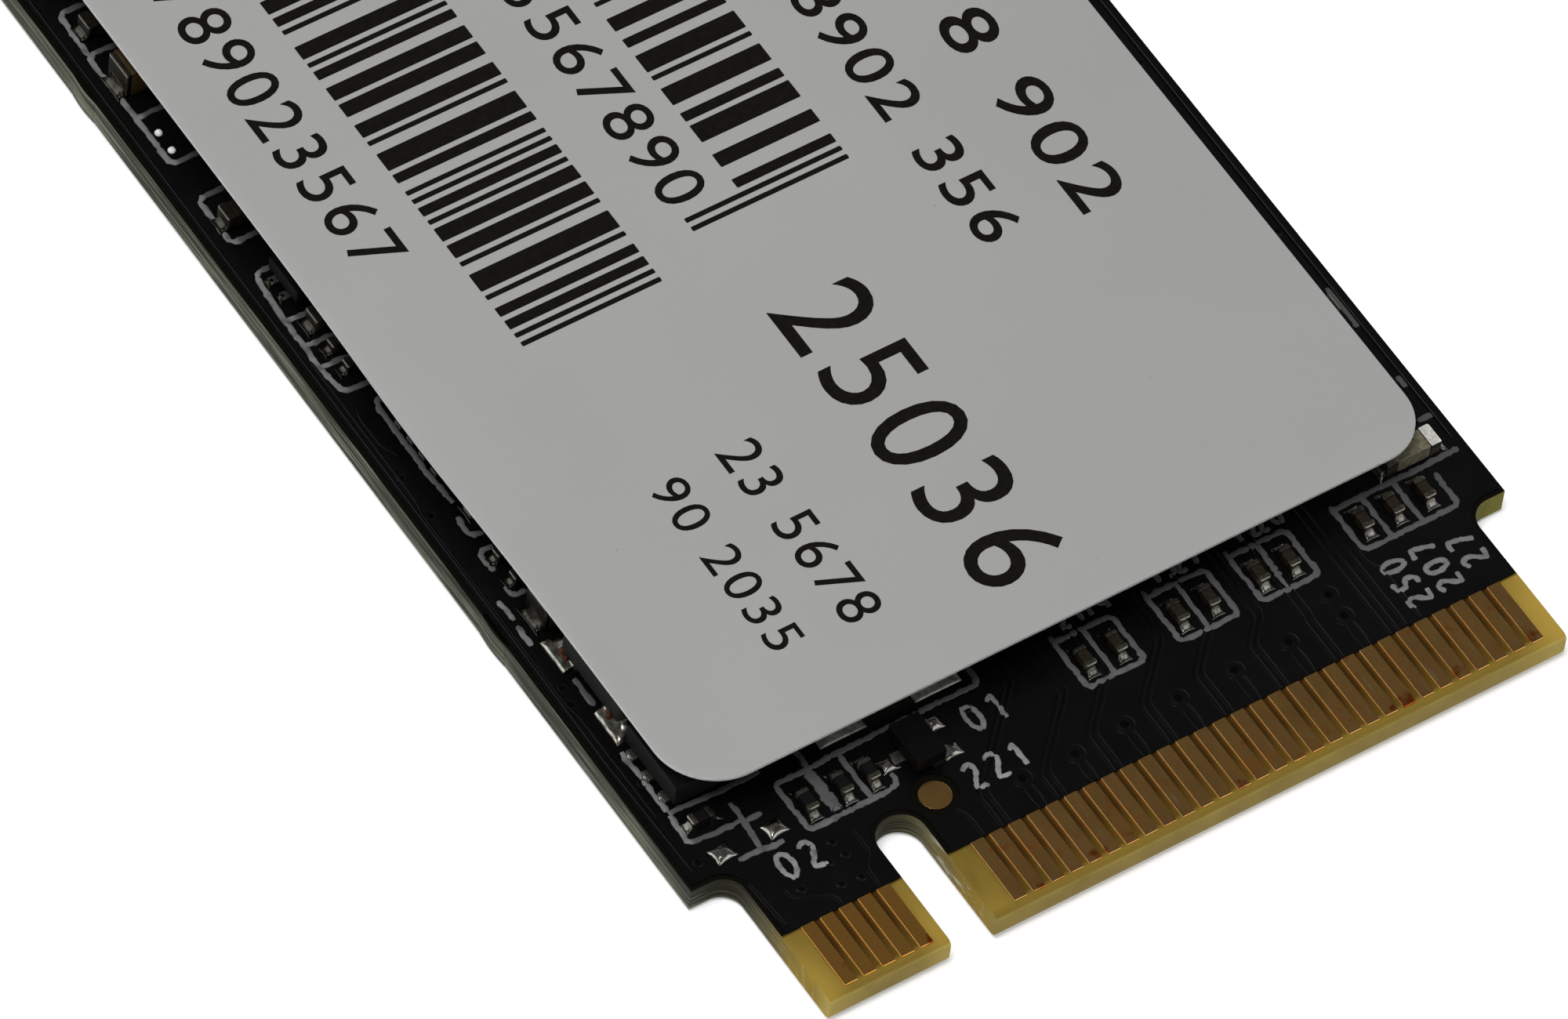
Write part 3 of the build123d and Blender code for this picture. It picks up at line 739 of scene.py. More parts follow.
def board_walls(made, cloud, streaks, beside_key):
    """Cut walls: grey fibres on the sides, painted shade at the shoulders, yellow and scuffed round the
    tongue.
    """
    patches = made.span(made.noise(0.5, (1.0, 1.0, 0.4), 2.0), 0.4, 0.75)
    fibres = made.ramp(streaks, (0.4, tone(34, 36, 29)), (0.47, tone(60, 63, 52)), (0.53, tone(82, 85, 71)),
                       (0.61, tone(118, 121, 104)))
    side = made.mix(made.both(patches, 0.6), fibres, tone(57, 59, 50))
    # Painted shade on the walls that face the tip behind the tongue, lighter at the right shoulder
    dim = made.ramp(streaks, (0.35, tone(24, 24, 16)), (0.55, tone(44, 43, 30)), (0.7, tone(82, 80, 58)))
    dim = made.mix(made.across(*right_shoulder), dim, tone(116, 112, 48))
    tongue = made.ramp(cloud, (0.3, tone(134, 111, 38)), (0.7, tone(158, 132, 48)))
    scuffs = made.span(made.noise(2.2, (1.0, 3.0, 0.5), 5.0), 0.52, 0.68)
    tongue = made.mix(made.both(scuffs, 0.4), tongue, tone(166, 158, 118))
    worn = made.ramp(streaks, (0.4, tone(84, 81, 60)), (0.6, tone(138, 132, 98)))
    tongue = made.mix(made.from_tip(*worn_notch), tongue, worn)
    front = made.ramp(cloud, (0.3, tone(132, 115, 58)), (0.7, tone(149, 131, 71)))
    corners = made.either(made.across(*left_corner), made.across(*right_corner), beside_key)
    front = made.mix(corners, front, tone(170, 151, 80))
    tongue = made.mix(made.from_tip(*front_wall), tongue, front)
    scratches = made.span(made.noise(3.0, (1.0, 0.5, 2.4), 4.0), 0.58, 0.7)
    key_side = made.both(made.across(*key_wall), made.across(*key_wall_end),
                         made.from_tip(*key_scuff), made.from_tip(*key_scuff_end))
    tongue = made.mix(made.both(scratches, key_side), tongue, tone(192, 190, 174))
    wall = made.mix(made.either(made.from_tip(*long_side), made.across(*left_side)), dim, side)
    # Painted light: the key notch's wall that faces left takes the lighter tongue tone
    wall = made.mix(made.both(key_side, 0.8), wall, tongue)
    return made.mix(made.from_tip(*tongue_walls), wall, tongue)


def laminate_finish(colours):
    """Glass-epoxy laminate: yellow on the bare tongue, dark under the mask, streaked on its walls."""
    made = Finish("bare_laminate", colours.laminate, 0.55, gloss=0.04)
    cloud = made.noise(0.9, detail=4.0)
    streaks = made.noise(1.0, (0.4, 0.4, 13.0), 5.0)
    beside_key = made.both(made.across(*key_glow_left), made.across(*key_glow_right))
    top = tongue_top(made, colours.laminate, cloud, beside_key)
    wall = board_walls(made, cloud, streaks, beside_key)
    made.set("Base Color", made.mix(made.upward(), wall, top))
    made.bump(streaks, 0.008)
    made.bump(made.noise(9.0), 0.002)
    return made.material


def mask_finish(colours):
    """Glossy black film with a faint orange peel and a little dust."""
    made = Finish("solder_mask", colours.mask, 0.2, gloss=0.26)
    film = made.ramp(made.noise(0.6), (0.35, times(colours.mask, 0.8)), (0.7, times(colours.mask, 1.2)))
    made.set("Base Color", made.mix(made.specks(0.7, 0.016), film, tone(110, 110, 108)))
    made.set("Roughness", made.span(made.noise(2.0), -1.2, 4.4))
    made.bump(made.noise(1.6, detail=2.0), 0.0025)
    made.bump(made.noise(16.0, detail=1.0), 0.0006)
    return made.material


def gold_finish(name, colours, tarnished):
    """Plating with fine scratches along the card and specks. If tarnished, copper tints and stained ends."""
    gold = colours.gold
    made = Finish(name, gold, 0.24, 1.0)
    brush = made.noise(30.0, (1.0, 0.05, 1.0), 3.0)
    grain = made.noise(24.0, detail=3.0)
    fine = made.math("ADD", made.both(brush, 0.5), made.both(grain, 0.5))
    metal = made.ramp(fine, (0.36, times(gold, 0.9)), (0.62, gold))
    metal = made.mix(made.span(made.noise(1.1, detail=3.0), 0.4, 0.8), metal, times(gold, 0.78))
    marks = made.both(made.span(made.noise(22.0, (1.0, 0.05, 1.0), 2.0), 0.64, 0.74), 0.5)
    metal = made.mix(marks, metal, tone(255, 230, 186))
    if tarnished:
        blots = made.both(made.span(made.noise(2.8, detail=3.0), 0.6, 0.72), 0.55)
        metal = made.mix(blots, metal, tone(236, 134, 58))
        tint = made.both(made.span(made.noise(0.9, detail=2.0), 0.56, 0.72), 0.6)
        metal = made.mix(tint, metal, tone(255, 172, 84))
        metal = made.mix(made.across(*short_group), metal, tone(255, 190, 96))
        stain = made.span(made.noise(1.5, detail=2.0), 0.57, 0.64)
        frayed = made.math("ADD", made.along("Y"), made.noise(5.0))
        front = made.span(frayed, *[tip_y + y for y in stained_ends])
        metal = made.mix(made.both(stain, front), metal, tone(196, 98, 42))
    made.set("Base Color", made.mix(made.specks(0.7, 0.02), metal, tone(250, 238, 215)))
    made.set("Roughness", made.span(grain, -1.4, 6.6))
    made.bump(brush, 0.0002)
    made.bump(grain, 0.0002)
    return made.material


def grained_finish(name):
    """Finish with a fine two-tone grain and the same grain in its relief."""
    dark, light, grain, roughness, metallic, relief, gloss = grained_finishes[name]
    made = Finish(name, light, roughness, metallic, gloss)
    fine = made.noise(grain, detail=4.0)
    made.set("Base Color", made.ramp(fine, (0.32, dark), (0.68, light)))
    made.bump(fine, relief)
    made.bump(made.noise(grain * 0.22, detail=2.0), relief * 2.0)
    return made.material


def solder_finish(name):
    """Bright solder with cold ripples."""
    dark, light, relief = solder_finishes[name]
    made = Finish(name, light, 0.2, 1.0)
    ripples = made.noise(5.5, detail=3.0)
    made.set("Base Color", made.ramp(ripples, (0.3, dark), (0.7, light)))
    made.set("Roughness", made.span(ripples, -0.1, 3.4))
    made.bump(ripples, relief)
    made.bump(made.noise(22.0, detail=2.0), relief * 0.28)
    return made.material


def ink_finish(name, ink):
    """Thin printed ink showing the mask in places, with painted shade by the label and painted light
    underneath.
    """
    made = Finish(name, ink, 0.55, gloss=0.2)
    thin = made.noise(3.4, detail=4.0)
    underside = made.span(made.along("Z"), deck, floor_side)
    lit = made.ramp(thin, (0.3, times(ink, 0.45)), (0.46, times(ink, 0.95)), (0.72, times(ink, 1.3)))
    lit = made.mix(made.both(made.across(*dim_right), 0.7), lit, times(ink, 0.6))
    # Painted light: the ink on the underside is made lighter
    lit = made.mix(underside, lit, times(ink, 2.2))
    # Painted shade: near the label's front, rear and left edge the ink takes a darker tone
    before = made.past("Y", label_low.y, *clear_front)
    behind = made.past("Y", label_high.y, *clear_rear)
    beside = made.past("X", label_low.x, *clear_left)
    clear = made.either(before, behind, beside, underside)
    made.set("Base Color", made.mix(clear, times(ink, 0.42), lit))
    made.bump(made.noise(11.0), 0.004)
    return made.material


def label_finish(colours):
    """Satin film with a faint cloud and grain."""
    made = Finish("label_film", colours.label, 0.46, gloss=0.35)
    cloud = made.noise(0.16, detail=2.0)
    grain = made.noise(17.0, detail=2.0)
    uneven = made.math("ADD", made.both(cloud, 0.55), made.both(grain, 0.45))
    film = made.ramp(uneven, (0.3, times(colours.label, 0.955)), (0.7, times(colours.label, 1.035)))
    made.set("Base Color", made.mix(made.specks(0.45, 0.03), film, times(colours.label, 0.7)))
    made.bump(grain, 0.0015)
    return made.material


def print_finish(colours):
    """Dense print ink with a slight bloom."""
    ink = colours.print_ink
    made = Finish("label_print", ink, 0.5, gloss=0.15)
    bloom = made.noise(6.0, detail=4.0)
    made.set("Base Color", made.ramp(bloom, (0.3, times(ink, 0.7)), (0.72, times(ink, 1.5))))
    made.bump(made.noise(20.0), 0.002)
    return made.material


def deselect():
    """Select no object."""
    bpy.ops.object.select_all(action="DESELECT")


def pick(piece):
    """Make one object the only selected one, and active."""
    deselect()
    piece.select_set(True)
    bpy.context.view_layer.objects.active = piece


def choose(piece, kind, wanted):
    """Open a piece for editing with only those faces, edges or corners selected that a test wants."""
    pick(piece)
    bpy.ops.object.mode_set(mode="EDIT")
    bpy.ops.mesh.select_mode(type=kind)
    bpy.ops.mesh.select_all(action="DESELECT")
    bpy.ops.object.mode_set(mode="OBJECT")
    mesh = piece.data
    for part in {"FACE": mesh.polygons, "EDGE": mesh.edges, "VERT": mesh.vertices}[kind]:
        part.select = wanted(part)
    bpy.ops.object.mode_set(mode="EDIT")


def choose_all(piece):
    """Open a piece for editing with everything selected."""
    pick(piece)
    bpy.ops.object.mode_set(mode="EDIT")
    bpy.ops.mesh.select_all(action="SELECT")


def leave_editing():
    """Close a piece after editing."""
    bpy.ops.mesh.select_mode(type="VERT")
    bpy.ops.object.mode_set(mode="OBJECT")


def edge_ends(piece, edge):
    """Places of an edge's two ends."""
    return [piece.data.vertices[n].co for n in edge.vertices]


def add_piece(name, data):
    """Link new object data to the scene and pick it."""
    piece = bpy.data.objects.new(name, data)
    bpy.context.scene.collection.objects.link(piece)
    pick(piece)
    return piece


def modify(piece, name, kind, **settings):
    """Apply one modifier to a piece."""
    pick(piece)
    modifier = piece.modifiers.new(name, kind)
    for setting, value in settings.items():
        setattr(modifier, setting, value)
    bpy.ops.object.modifier_apply(modifier=modifier.name)


def joined(pieces):
    """Several objects as one."""
    deselect()
    for piece in pieces:
        piece.select_set(True)
    bpy.context.view_layer.objects.active = pieces[0]
    bpy.ops.object.join()
    return pieces[0]


def settle(piece, name, finishes, stands_for=()):
    """Name a finished piece, scale it from millimetres, give it its finishes and fix it to the card."""
    piece.name = name
    piece.data.name = name
    piece.data.transform(Matrix.Scale(MM, 4))
    for material in finishes:
        piece.data.materials.append(material)
    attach(piece, "root")
    if stands_for:
        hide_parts(*stands_for)
    return piece


def finish_node(node, material):
    """Give a CAD node its finish."""
    cad_nodes[node].data.materials.clear()
    cad_nodes[node].data.materials.append(material)


def whole_copy(node):
    """Copy of a CAD node in millimetres, with whole faces."""
    mesh = cad_nodes[node].data.copy()
    mesh.materials.clear()
    mesh.transform(Matrix.Scale(1 / MM, 4))
    piece = add_piece(node + "_rounded", mesh)
    bpy.ops.mesh.customdata_custom_splitnormals_clear()
    choose_all(piece)
    bpy.ops.mesh.remove_doubles(threshold=copy_merge)
    bpy.ops.mesh.dissolve_limited(angle_limit=flat_angle)
    leave_editing()
    return piece


def merge_points(piece):
    """Merge points that lie on each other, with the collapsed faces between them."""
    choose_all(piece)
    bpy.ops.mesh.remove_doubles(threshold=bevel_merge)
    bpy.ops.mesh.dissolve_degenerate(threshold=bevel_merge)
    leave_editing()


def smooth_flats(piece):
    """Smooth a piece's rounded edges and keep its flat faces flat."""
    pick(piece)
    bpy.ops.object.shade_smooth_by_angle(angle=smooth_angle)
    modify(piece, "flat faces", "WEIGHTED_NORMAL", weight=100, keep_sharp=True)
    return piece


def round_edges(piece, rounding):
    """Round a piece's edges and keep its flat faces flat."""
    modify(piece, "rounded edges", "BEVEL", width=rounding, segments=2, limit_method="ANGLE",
           angle_limit=rounded_angle)
    merge_points(piece)
    return smooth_flats(piece)


def round_node(node, rounding, material):
    """Show a CAD node by its rounded copy."""
    finish_node(node, material)
    piece = round_edges(whole_copy(node), rounding)
    return settle(piece, node + "_rounded", (material,), (node,))


def walk(points, step):
    """Points along a run of straight lines, about a step apart."""
    walked = [Vector(points[0])]
    for start, end in zip(points, points[1:]):
        start, end = Vector(start), Vector(end)
        count = max(1, round((end - start).length / step))
        walked += [start.lerp(end, n / count) for n in range(1, count + 1)]
    return walked


def eased(points, ease=0.1, most=0.4):
    """A run of lines with its corners cut, by a length and at most by a share of each line."""
    points = [Vector(p) for p in points]
    run = [points[0]]
    for before, corner, after in zip(points, points[1:], points[2:]):
        for end in (before, after):
            share = min(most, ease / max((end - corner).length, 0.001))
            run.append(corner.lerp(end, share))
    return [*run, points[-1]]


def strokes(runs, width, height, base_z, ragged=0.0, step=0.09):
    """One mesh of flattened round strokes that lie on the plane at base_z."""
    curve = bpy.data.curves.new("strokes", "CURVE")
    curve.dimensions = "3D"
    curve.bevel_depth = width / 2
    curve.bevel_resolution = 2
    curve.use_fill_caps = True
    wobble = ragged * width * stroke_wobble
    for run in runs:
        walked = walk(eased(run), step)
        spline = curve.splines.new("POLY")
        spline.points.add(len(walked) - 1)
        for point, place in zip(spline.points, walked):
            spot = Vector((place.x * stroke_grain, place.y * stroke_grain, 0.4))
            x = place.x + wobble * noise.noise(spot)
            y = tip_y + place.y + wobble * noise.noise(spot.yxz)
            point.co = (x, y, 0, 1)
            point.radius = 1.0 + ragged * noise.noise(spot * 2.3)
        spline.points[0].radius *= stroke_taper
        spline.points[-1].radius *= stroke_taper
    add_piece("strokes", curve)
    bpy.ops.object.convert(target="MESH")
    piece = bpy.context.object
    flatten = Matrix.Diagonal((1, 1, 2 * height / width, 1))
    piece.data.transform(Matrix.Translation((0, 0, base_z)) @ flatten)
    bpy.ops.object.shade_smooth()
    return piece


def number_runs(text, corner, height, turn):
    """Strokes of a printed number."""
    turned = Matrix.Rotation(math.radians(turn), 2)
    runs = []
    for place, digit in enumerate(text):
        for run in digit_strokes[digit]:
            shifted = [Vector((x + place * digit_advance, y)) * height for x, y in run]
            runs.append(eased([Vector(corner) + turned @ point for point in shifted], digit_ease * height))
    return runs


def block_mesh(cuts):
    """Closed unit block with a grid on every face."""
    deselect()
    bpy.ops.mesh.primitive_cube_add(size=1)
    bpy.ops.object.mode_set(mode="EDIT")
    bpy.ops.mesh.subdivide(number_cuts=cuts)
    bpy.ops.object.mode_set(mode="OBJECT")
    bpy.ops.object.shade_smooth()
    block = bpy.context.object
    mesh = block.data
    bpy.data.objects.remove(block)
    return mesh


def shaped_block(block, finish, place, turn, shape):
    """Copy of the block whose points are moved by a shape, then turned and placed on the deck."""
    mesh = block.copy()
    mesh.materials.append(finish)
    for vertex in mesh.vertices:
        vertex.co = shape(2 * vertex.co.x, 2 * vertex.co.y, vertex.co.z + 0.5)
    mesh.transform(Matrix.Translation((place[0], place[1], deck)) @ Matrix.Rotation(turn, 4, "Z"))
    return add_piece("shaped", mesh)


def nib_shape(extent):
    """Low swelling of the board's edge, which looks along local X and runs through the laminate."""
    def shape(u, v, t):
        swell = nib_depth * (1 - v * v) ** 1.5
        rise = board_low.z + t * (board_high.z - board_low.z) - deck
        return Vector(((u + 1) / 2 * (nib_root + swell) - nib_root, v * extent / 2, rise))
    return shape


class CARD_OT_board(bpy.types.Operator):
    """Finish the laminate, its mask films and the nibs on its edges"""

    bl_idname = "card.board"
    bl_label = "Board"

    def execute(self, context):
        colours = context.scene.card_colours
        laminate = laminate_finish(colours)
        finish_node("board_laminate", laminate)
        board = whole_copy("board_laminate")

        def leads_in(edge):
            ends = edge_ends(board, edge)
            return all(p.y < tip_y + touch for p in ends) and abs(ends[0].z - ends[1].z) < touch

        choose(board, "EDGE", leads_in)
        bpy.ops.mesh.bevel(offset=lead_in_bevel, segments=5)
        leave_editing()
        round_edges(board, board_rounding)
        settle(board, "board_laminate_rounded", (laminate,), ("board_laminate",))
        mask = mask_finish(colours)
        for node in ("solder_mask_top", "solder_mask_bottom"):
            finish_node(node, mask)
        block = block_mesh(nib_cuts)
        nibs = []
        for side, y, extent in edge_nibs:
            place = (side * board_high.x, tip_y + y)
            turn = 0.0 if side > 0 else math.pi
            nibs.append(shaped_block(block, laminate, place, turn, nib_shape(extent)))
        settle(joined(nibs), "edge_nibs", ())
        return {"FINISHED"}


def sloped_contacts(node, side, sizes):
    """Copy of a group of contacts, with a slope along each left edge and a rounding above it."""
    contacts = whole_copy(node)
    low, high = span(node)
    outer_z = high.z if side > 0 else low.z

    def on_left(edge):
        ends = edge_ends(contacts, edge)
        shares = [(high.x - p.x) / contact_pitch % 1.0 for p in ends]
        return all(abs(p.z - outer_z) < contact_touch for p in ends) and all(0.5 < s < 0.9 for s in shares)

    choose(contacts, "EDGE", on_left)
    bpy.ops.mesh.bevel(offset=sizes.contact_slope, segments=1)
    leave_editing()
    choose(contacts, "FACE", lambda face: face.normal.z * side > looks_up)
    bpy.ops.mesh.region_to_loop()
    bpy.ops.mesh.bevel(offset=sizes.contact_rounding, segments=1)
    leave_editing()
    return smooth_flats(contacts)


def notch_lining():
    """Half tube of plating on the screw notch's wall."""
    corners = [v.co / MM for v in cad_nodes["screw_notch_pads"].data.vertices]
    inner = min(math.hypot(p.x, p.y - far_y) for p in corners)
    deselect()
    bpy.ops.mesh.primitive_cylinder_add(
        vertices=lining_corners, radius=inner - lining_clearance, depth=board_high.z - board_low.z,
        end_fill_type="NOTHING", location=(0, far_y, (board_high.z + board_low.z) / 2))
    lining = bpy.context.object
    bpy.ops.object.transform_apply()
    choose_all(lining)
    bpy.ops.mesh.bisect(plane_co=(0, far_y - lining_margin, 0), plane_no=(0, 1, 0), clear_outer=True)
    leave_editing()
    modify(lining, "plated wall", "SOLIDIFY", thickness=lining_thickness, offset=0.0)
    bpy.ops.object.shade_smooth_by_angle(angle=smooth_angle)
    return lining


class CARD_OT_contacts(bpy.types.Operator):
    """Round and plate the contacts, the fiducial and the screw notch"""

    bl_idname = "card.contacts"
    bl_label = "Contacts"

    def execute(self, context):
        plate = gold_finish("contact_plate", context.scene.card_colours, True)
        clean = gold_finish("pad_plate", context.scene.card_colours, False)
        for face, side in (("top", 1), ("bottom", -1)):
            for group in ("long", "short"):
                node = f"contacts_{face}_{group}"
                finish_node(node, plate)
                contacts = sloped_contacts(node, side, context.scene.card_sizes)
                settle(contacts, node + "_rounded", (plate,), (node,))
        round_node("fiducial_disc", disc_rounding, clean)
        round_node("screw_notch_pads", notch_pad_rounding, clean)
        settle(notch_lining(), "screw_notch_lining", (clean,))
        return {"FINISHED"}


def via_mesh(radius, hole, finishes):
    """Low ring with a lip round a plugged hole, raised from a short cylinder that is sunk in the mask."""
    deselect()
    bpy.ops.mesh.primitive_cylinder_add(vertices=via_corners, radius=radius, depth=via_stub)
    via = bpy.context.object
    via.data.transform(Matrix.Translation((0, 0, -via_sunk)))
    unit = radius / large_via[0]
    steps = [(width * unit, rise) for width, rise in (*via_lip, via_wall)]
    steps.insert(-1, (radius - hole - sum(width for width, rise in steps), 0.0))
    choose(via, "FACE", lambda face: face.normal.z > looks_up)
    for width, rise in steps:
        bpy.ops.mesh.inset(thickness=width, depth=rise)
    leave_editing()
    bpy.ops.object.shade_smooth_by_angle(angle=smooth_angle)
    mesh = via.data
    for face in mesh.polygons:
        rim = [mesh.vertices[n].co.xy.length for n in face.vertices]
        face.material_index = int(max(rim) < hole * via_hole_share)
    for material in finishes:
        mesh.materials.append(material)
    bpy.data.objects.remove(via)
    return mesh


def pair_runs():
    """Track pairs from the contacts to the chips."""
    runs = []
    for number, (bend_y, shift) in enumerate(pair_bends):
        for side in (-pair_half_gap, pair_half_gap):
            x = pair_first_x + number * pair_pitch + side
            run = [(x, mask_front), (x, bend_y)]
            if shift:
                run.append((x + shift, bend_y + shift))
            runs.append([*run, (x + shift, pair_end_y)])
    return runs


def under_runs():
    """Tracks of the underside, and the vias that they lead to."""
    start_y, bend_y, bent_y, stop_y = under_rail_y
    runs = []
    for x in under_rails:
        inner = x * under_rail_shift
        runs.append(((x, start_y), (x, bend_y), (inner, bent_y), (inner, stop_y)))
    vias = []
    for number in range(under_track_count):
        x = under_track_first_x + number * under_track_pitch
        shift = under_shifts[number % len(under_shifts)]
        end_y = under_ends_y[number % len(under_ends_y)]
        bent = (x + shift, under_bend_y + abs(shift))
        runs.append(((x, under_mask_front), (x, under_bend_y), bent, (x + shift, end_y - track_stop)))
        vias.append((x + shift, end_y))
    return runs, vias


class CARD_OT_tracks(bpy.types.Operator):
    """Raise the tracks and vias that show under the mask"""

    bl_idname = "card.tracks"
    bl_label = "Tracks"

    def execute(self, context):
        width = context.scene.card_sizes.track_width
        height = context.scene.card_sizes.track_height
        mask = cad_nodes["solder_mask_top"].data.materials[0]
        necks = [((x, mask_front), (x, y - neck_stop)) for x, y in ring_vias[:-1]]
        rails, rail_vias = under_runs()
        ridges = [
            strokes([*single_tracks, *pair_runs()], width, height, deck, step=track_step),
            strokes(rails, width, height, floor_side, step=rail_step),
            strokes(necks, neck_width, height, deck, step=neck_step),
            strokes(edge_tracks, edge_track_width, edge_track_height, deck, step=track_step),
        ]
        settle(joined(ridges), "track_ridges", (mask,))
        finishes = (mask, grained_finish("via_hole"))
        large = via_mesh(*large_via, finishes)
        small = via_mesh(*small_via, finishes)
        under_vias = [(x, y) for x in under_via_columns for y in under_via_rows] + rail_vias
        flip = Matrix.Rotation(math.pi, 4, "X")
        rings = []
        for mesh, places, level, turn in (
            (large, ring_vias, deck, Matrix()),
            (small, small_vias + far_vias, deck, Matrix()),
            (small, under_vias, floor_side, flip),
        ):
            for x, y in places:
                ring = mesh.copy()
                ring.transform(Matrix.Translation((x, tip_y + y, level)) @ turn)
                rings.append(add_piece("via", ring))
        settle(joined(rings), "via_rings", ())
        return {"FINISHED"}


class CARD_OT_board_print(bpy.types.Operator):
    """Print the outlines and numbers on the board"""

    bl_idname = "card.board_print"
    bl_label = "Board print"

    def execute(self, context):
        sizes = context.scene.card_sizes
        line, digit, height = sizes.ink_width, sizes.number_width, sizes.ink_height
        colour = context.scene.card_colours.board_ink
        ink = ink_finish("board_ink", colour)
        dense_ink_and_painted_light = ink_finish("dense_and_painted_light_board_ink", times(colour, dense_share))
        inner, outer = far_box_x
        boxes = []
        for y in far_boxes_y:
            end = y + far_box_length
            boxes.append(((inner, y), (outer, y), (outer, end), (inner, end)))
        outlines = [
            strokes([*ink_outlines, *far_outlines, *boxes], line, height, deck, outline_ragged),
            strokes(wide_ink, line * 2, height, deck, wide_ragged),
            strokes(under_outlines, line, height, floor_side, outline_ragged),
        ]
        settle(joined(outlines), "ink_outlines", (ink,))
        upper = [run for number in ink_numbers + far_numbers for run in number_runs(*number)]
        under = [[(-x, y) for x, y in run] for number in under_numbers for run in number_runs(*number)]
        dense = [
            strokes(upper, digit, height, deck, number_ragged, number_step),
            strokes(under, digit, height, floor_side, number_ragged, number_step),
            # The outlines beside the label take the lighter ink as painted light
            strokes(painted_light_outlines, line, height, deck, outline_ragged),
        ]
        settle(joined(dense), "ink_numbers", (dense_ink_and_painted_light,))
        return {"FINISHED"}


class CARD_OT_packages(bpy.types.Operator):
    """Round and finish the moulded packages, the crystal and the inductors"""

    bl_idname = "card.packages"
    bl_label = "Packages"

    def execute(self, context):
        names = {row[0] for row in rounded_packages + plain_packages}
        finishes = {name: grained_finish(name) for name in sorted(names)}
        for name, slot, rounding, nodes in rounded_packages:
            for node in nodes:
                round_node(node, rounding, finishes[name])
        for name, nodes in plain_packages:
            for node in nodes:
                finish_node(node, finishes[name])
        return {"FINISHED"}


def lapped_body(node):
    """Copy of a large capacitor's ceramic, grown so that it laps over its metal ends."""
    body = whole_copy(node)
    low, high = span(node)
    foot = Vector(((low.x + high.x) / 2, (low.y + high.y) / 2, low.z))
    size = high - low
    grown = (size.x + 2 * glaze_reach, size.y + 2 * glaze_rise, size.z + glaze_rise)
    stretch = Matrix.Diagonal([new / old for new, old in zip(grown, size)]).to_4x4()
    body.data.transform(Matrix.Translation(foot) @ stretch @ Matrix.Translation(-foot))
    return round_edges(body, glaze_rounding)


class CARD_OT_chip_parts(bpy.types.Operator):
    """Round and finish the chip capacitors and resistors and their metal ends"""

    bl_idname = "card.chip_parts"
    bl_label = "Chip parts"

    def execute(self, context):
        brown = grained_finish("capacitor_ceramic")
        tan = grained_finish("large_capacitor_ceramic")
        glaze = grained_finish("resistor_glaze")
        for node in capacitors:
            if "large" in node:
                finish_node(node, tan)
                settle(lapped_body(node), node + "_rounded", (tan,), (node,))
            else:
                round_node(node, chip_rounding, brown)
        for node in resistors:
            round_node(node, glaze_rounding, glaze)
        round_node("corner_bead", chip_rounding, grained_finish("bead_ceramic"))
        # Painted highlight on the upward faces of the bead's metal ends
        bead_painted_highlight = grained_finish("bead_end_painted_highlight")
        low, high = span("corner_bead")
        spare = 0.05
        # The side row's ends take the painted-shade copy of the end metal
        for node, metal in (("front_chip_ends", "end_metal"), ("side_chip_ends", "painted_shade_end_metal")):
            caps = round_node(node, end_rounding, grained_finish(metal))
            caps.data.materials.append(bead_painted_highlight)
            for face in caps.data.polygons:
                place = face.center / MM
                on_bead = place.x > high.x - spare and low.y - spare < place.y < high.y + spare
                if on_bead and face.normal.z > 0.5:
                    face.material_index = 1
        return {"FINISHED"}


def ripple(x, y, seed):
    """Slow unevenness of cooled solder, from -1 to 1."""
    return noise.noise(Vector((x * ripple_grain, y * ripple_grain, seed * ripple_shift)))


def fillet_shape(reach, width, climb, seed):
    """Hollow joint that runs from a metal end down to its pad, along local X."""
    toe = 0.015
    tuck = 0.02
    thinnest = 0.008
    flare = 0.22
    waist = 0.16
    drawn_corner = 0.12

    def shape(u, v, t):
        out = (u + 1) / 2
        half = width / 2 * (1.0 + flare * out * out - waist * math.sin(math.pi * out))
        crest = toe + (climb - toe) * (1 - out) ** 2 * (1 - 0.35 * abs(v) ** 3)
        edge = 1 - 0.9 * abs(v) ** 6
        uneven = 1 + 0.2 * ripple(out * reach, v * half, seed)
        corner = 1 + drawn_corner * abs(v) ** 2 * out
        return Vector((out * reach * corner - tuck, v * half, t * max(crest * (edge * uneven), thinnest)))
    return shape


def pillow_shape(half_x, half_y, height, pinch, power, seed):
    """Lump on a bare pad, with its corners drawn out."""
    thinnest = 0.008

    def shape(u, v, t):
        x = u * half_x * (1 - pinch * (1 - v * v))
        y = v * half_y * (1 - pinch * (1 - u * u))
        uneven = 1 + 0.3 * ripple(x, y, seed)
        crest = height * ((1 - u * u) * (1 - v * v)) ** power * uneven + thinnest
        return Vector((x, y, t * crest))
    return shape


def dome_shape(radius, height, seed):
    """Round dome."""
    thinnest = 0.006

    def shape(u, v, t):
        x = u * math.sqrt(1 - v * v / 2)
        y = v * math.sqrt(1 - u * u / 2)
        crest = height * math.sqrt(max(0.0, 1 - x * x - y * y)) + thinnest
        return Vector((x * radius, y * radius, t * crest * (1 + 0.1 * ripple(x, y, seed))))
    return shape


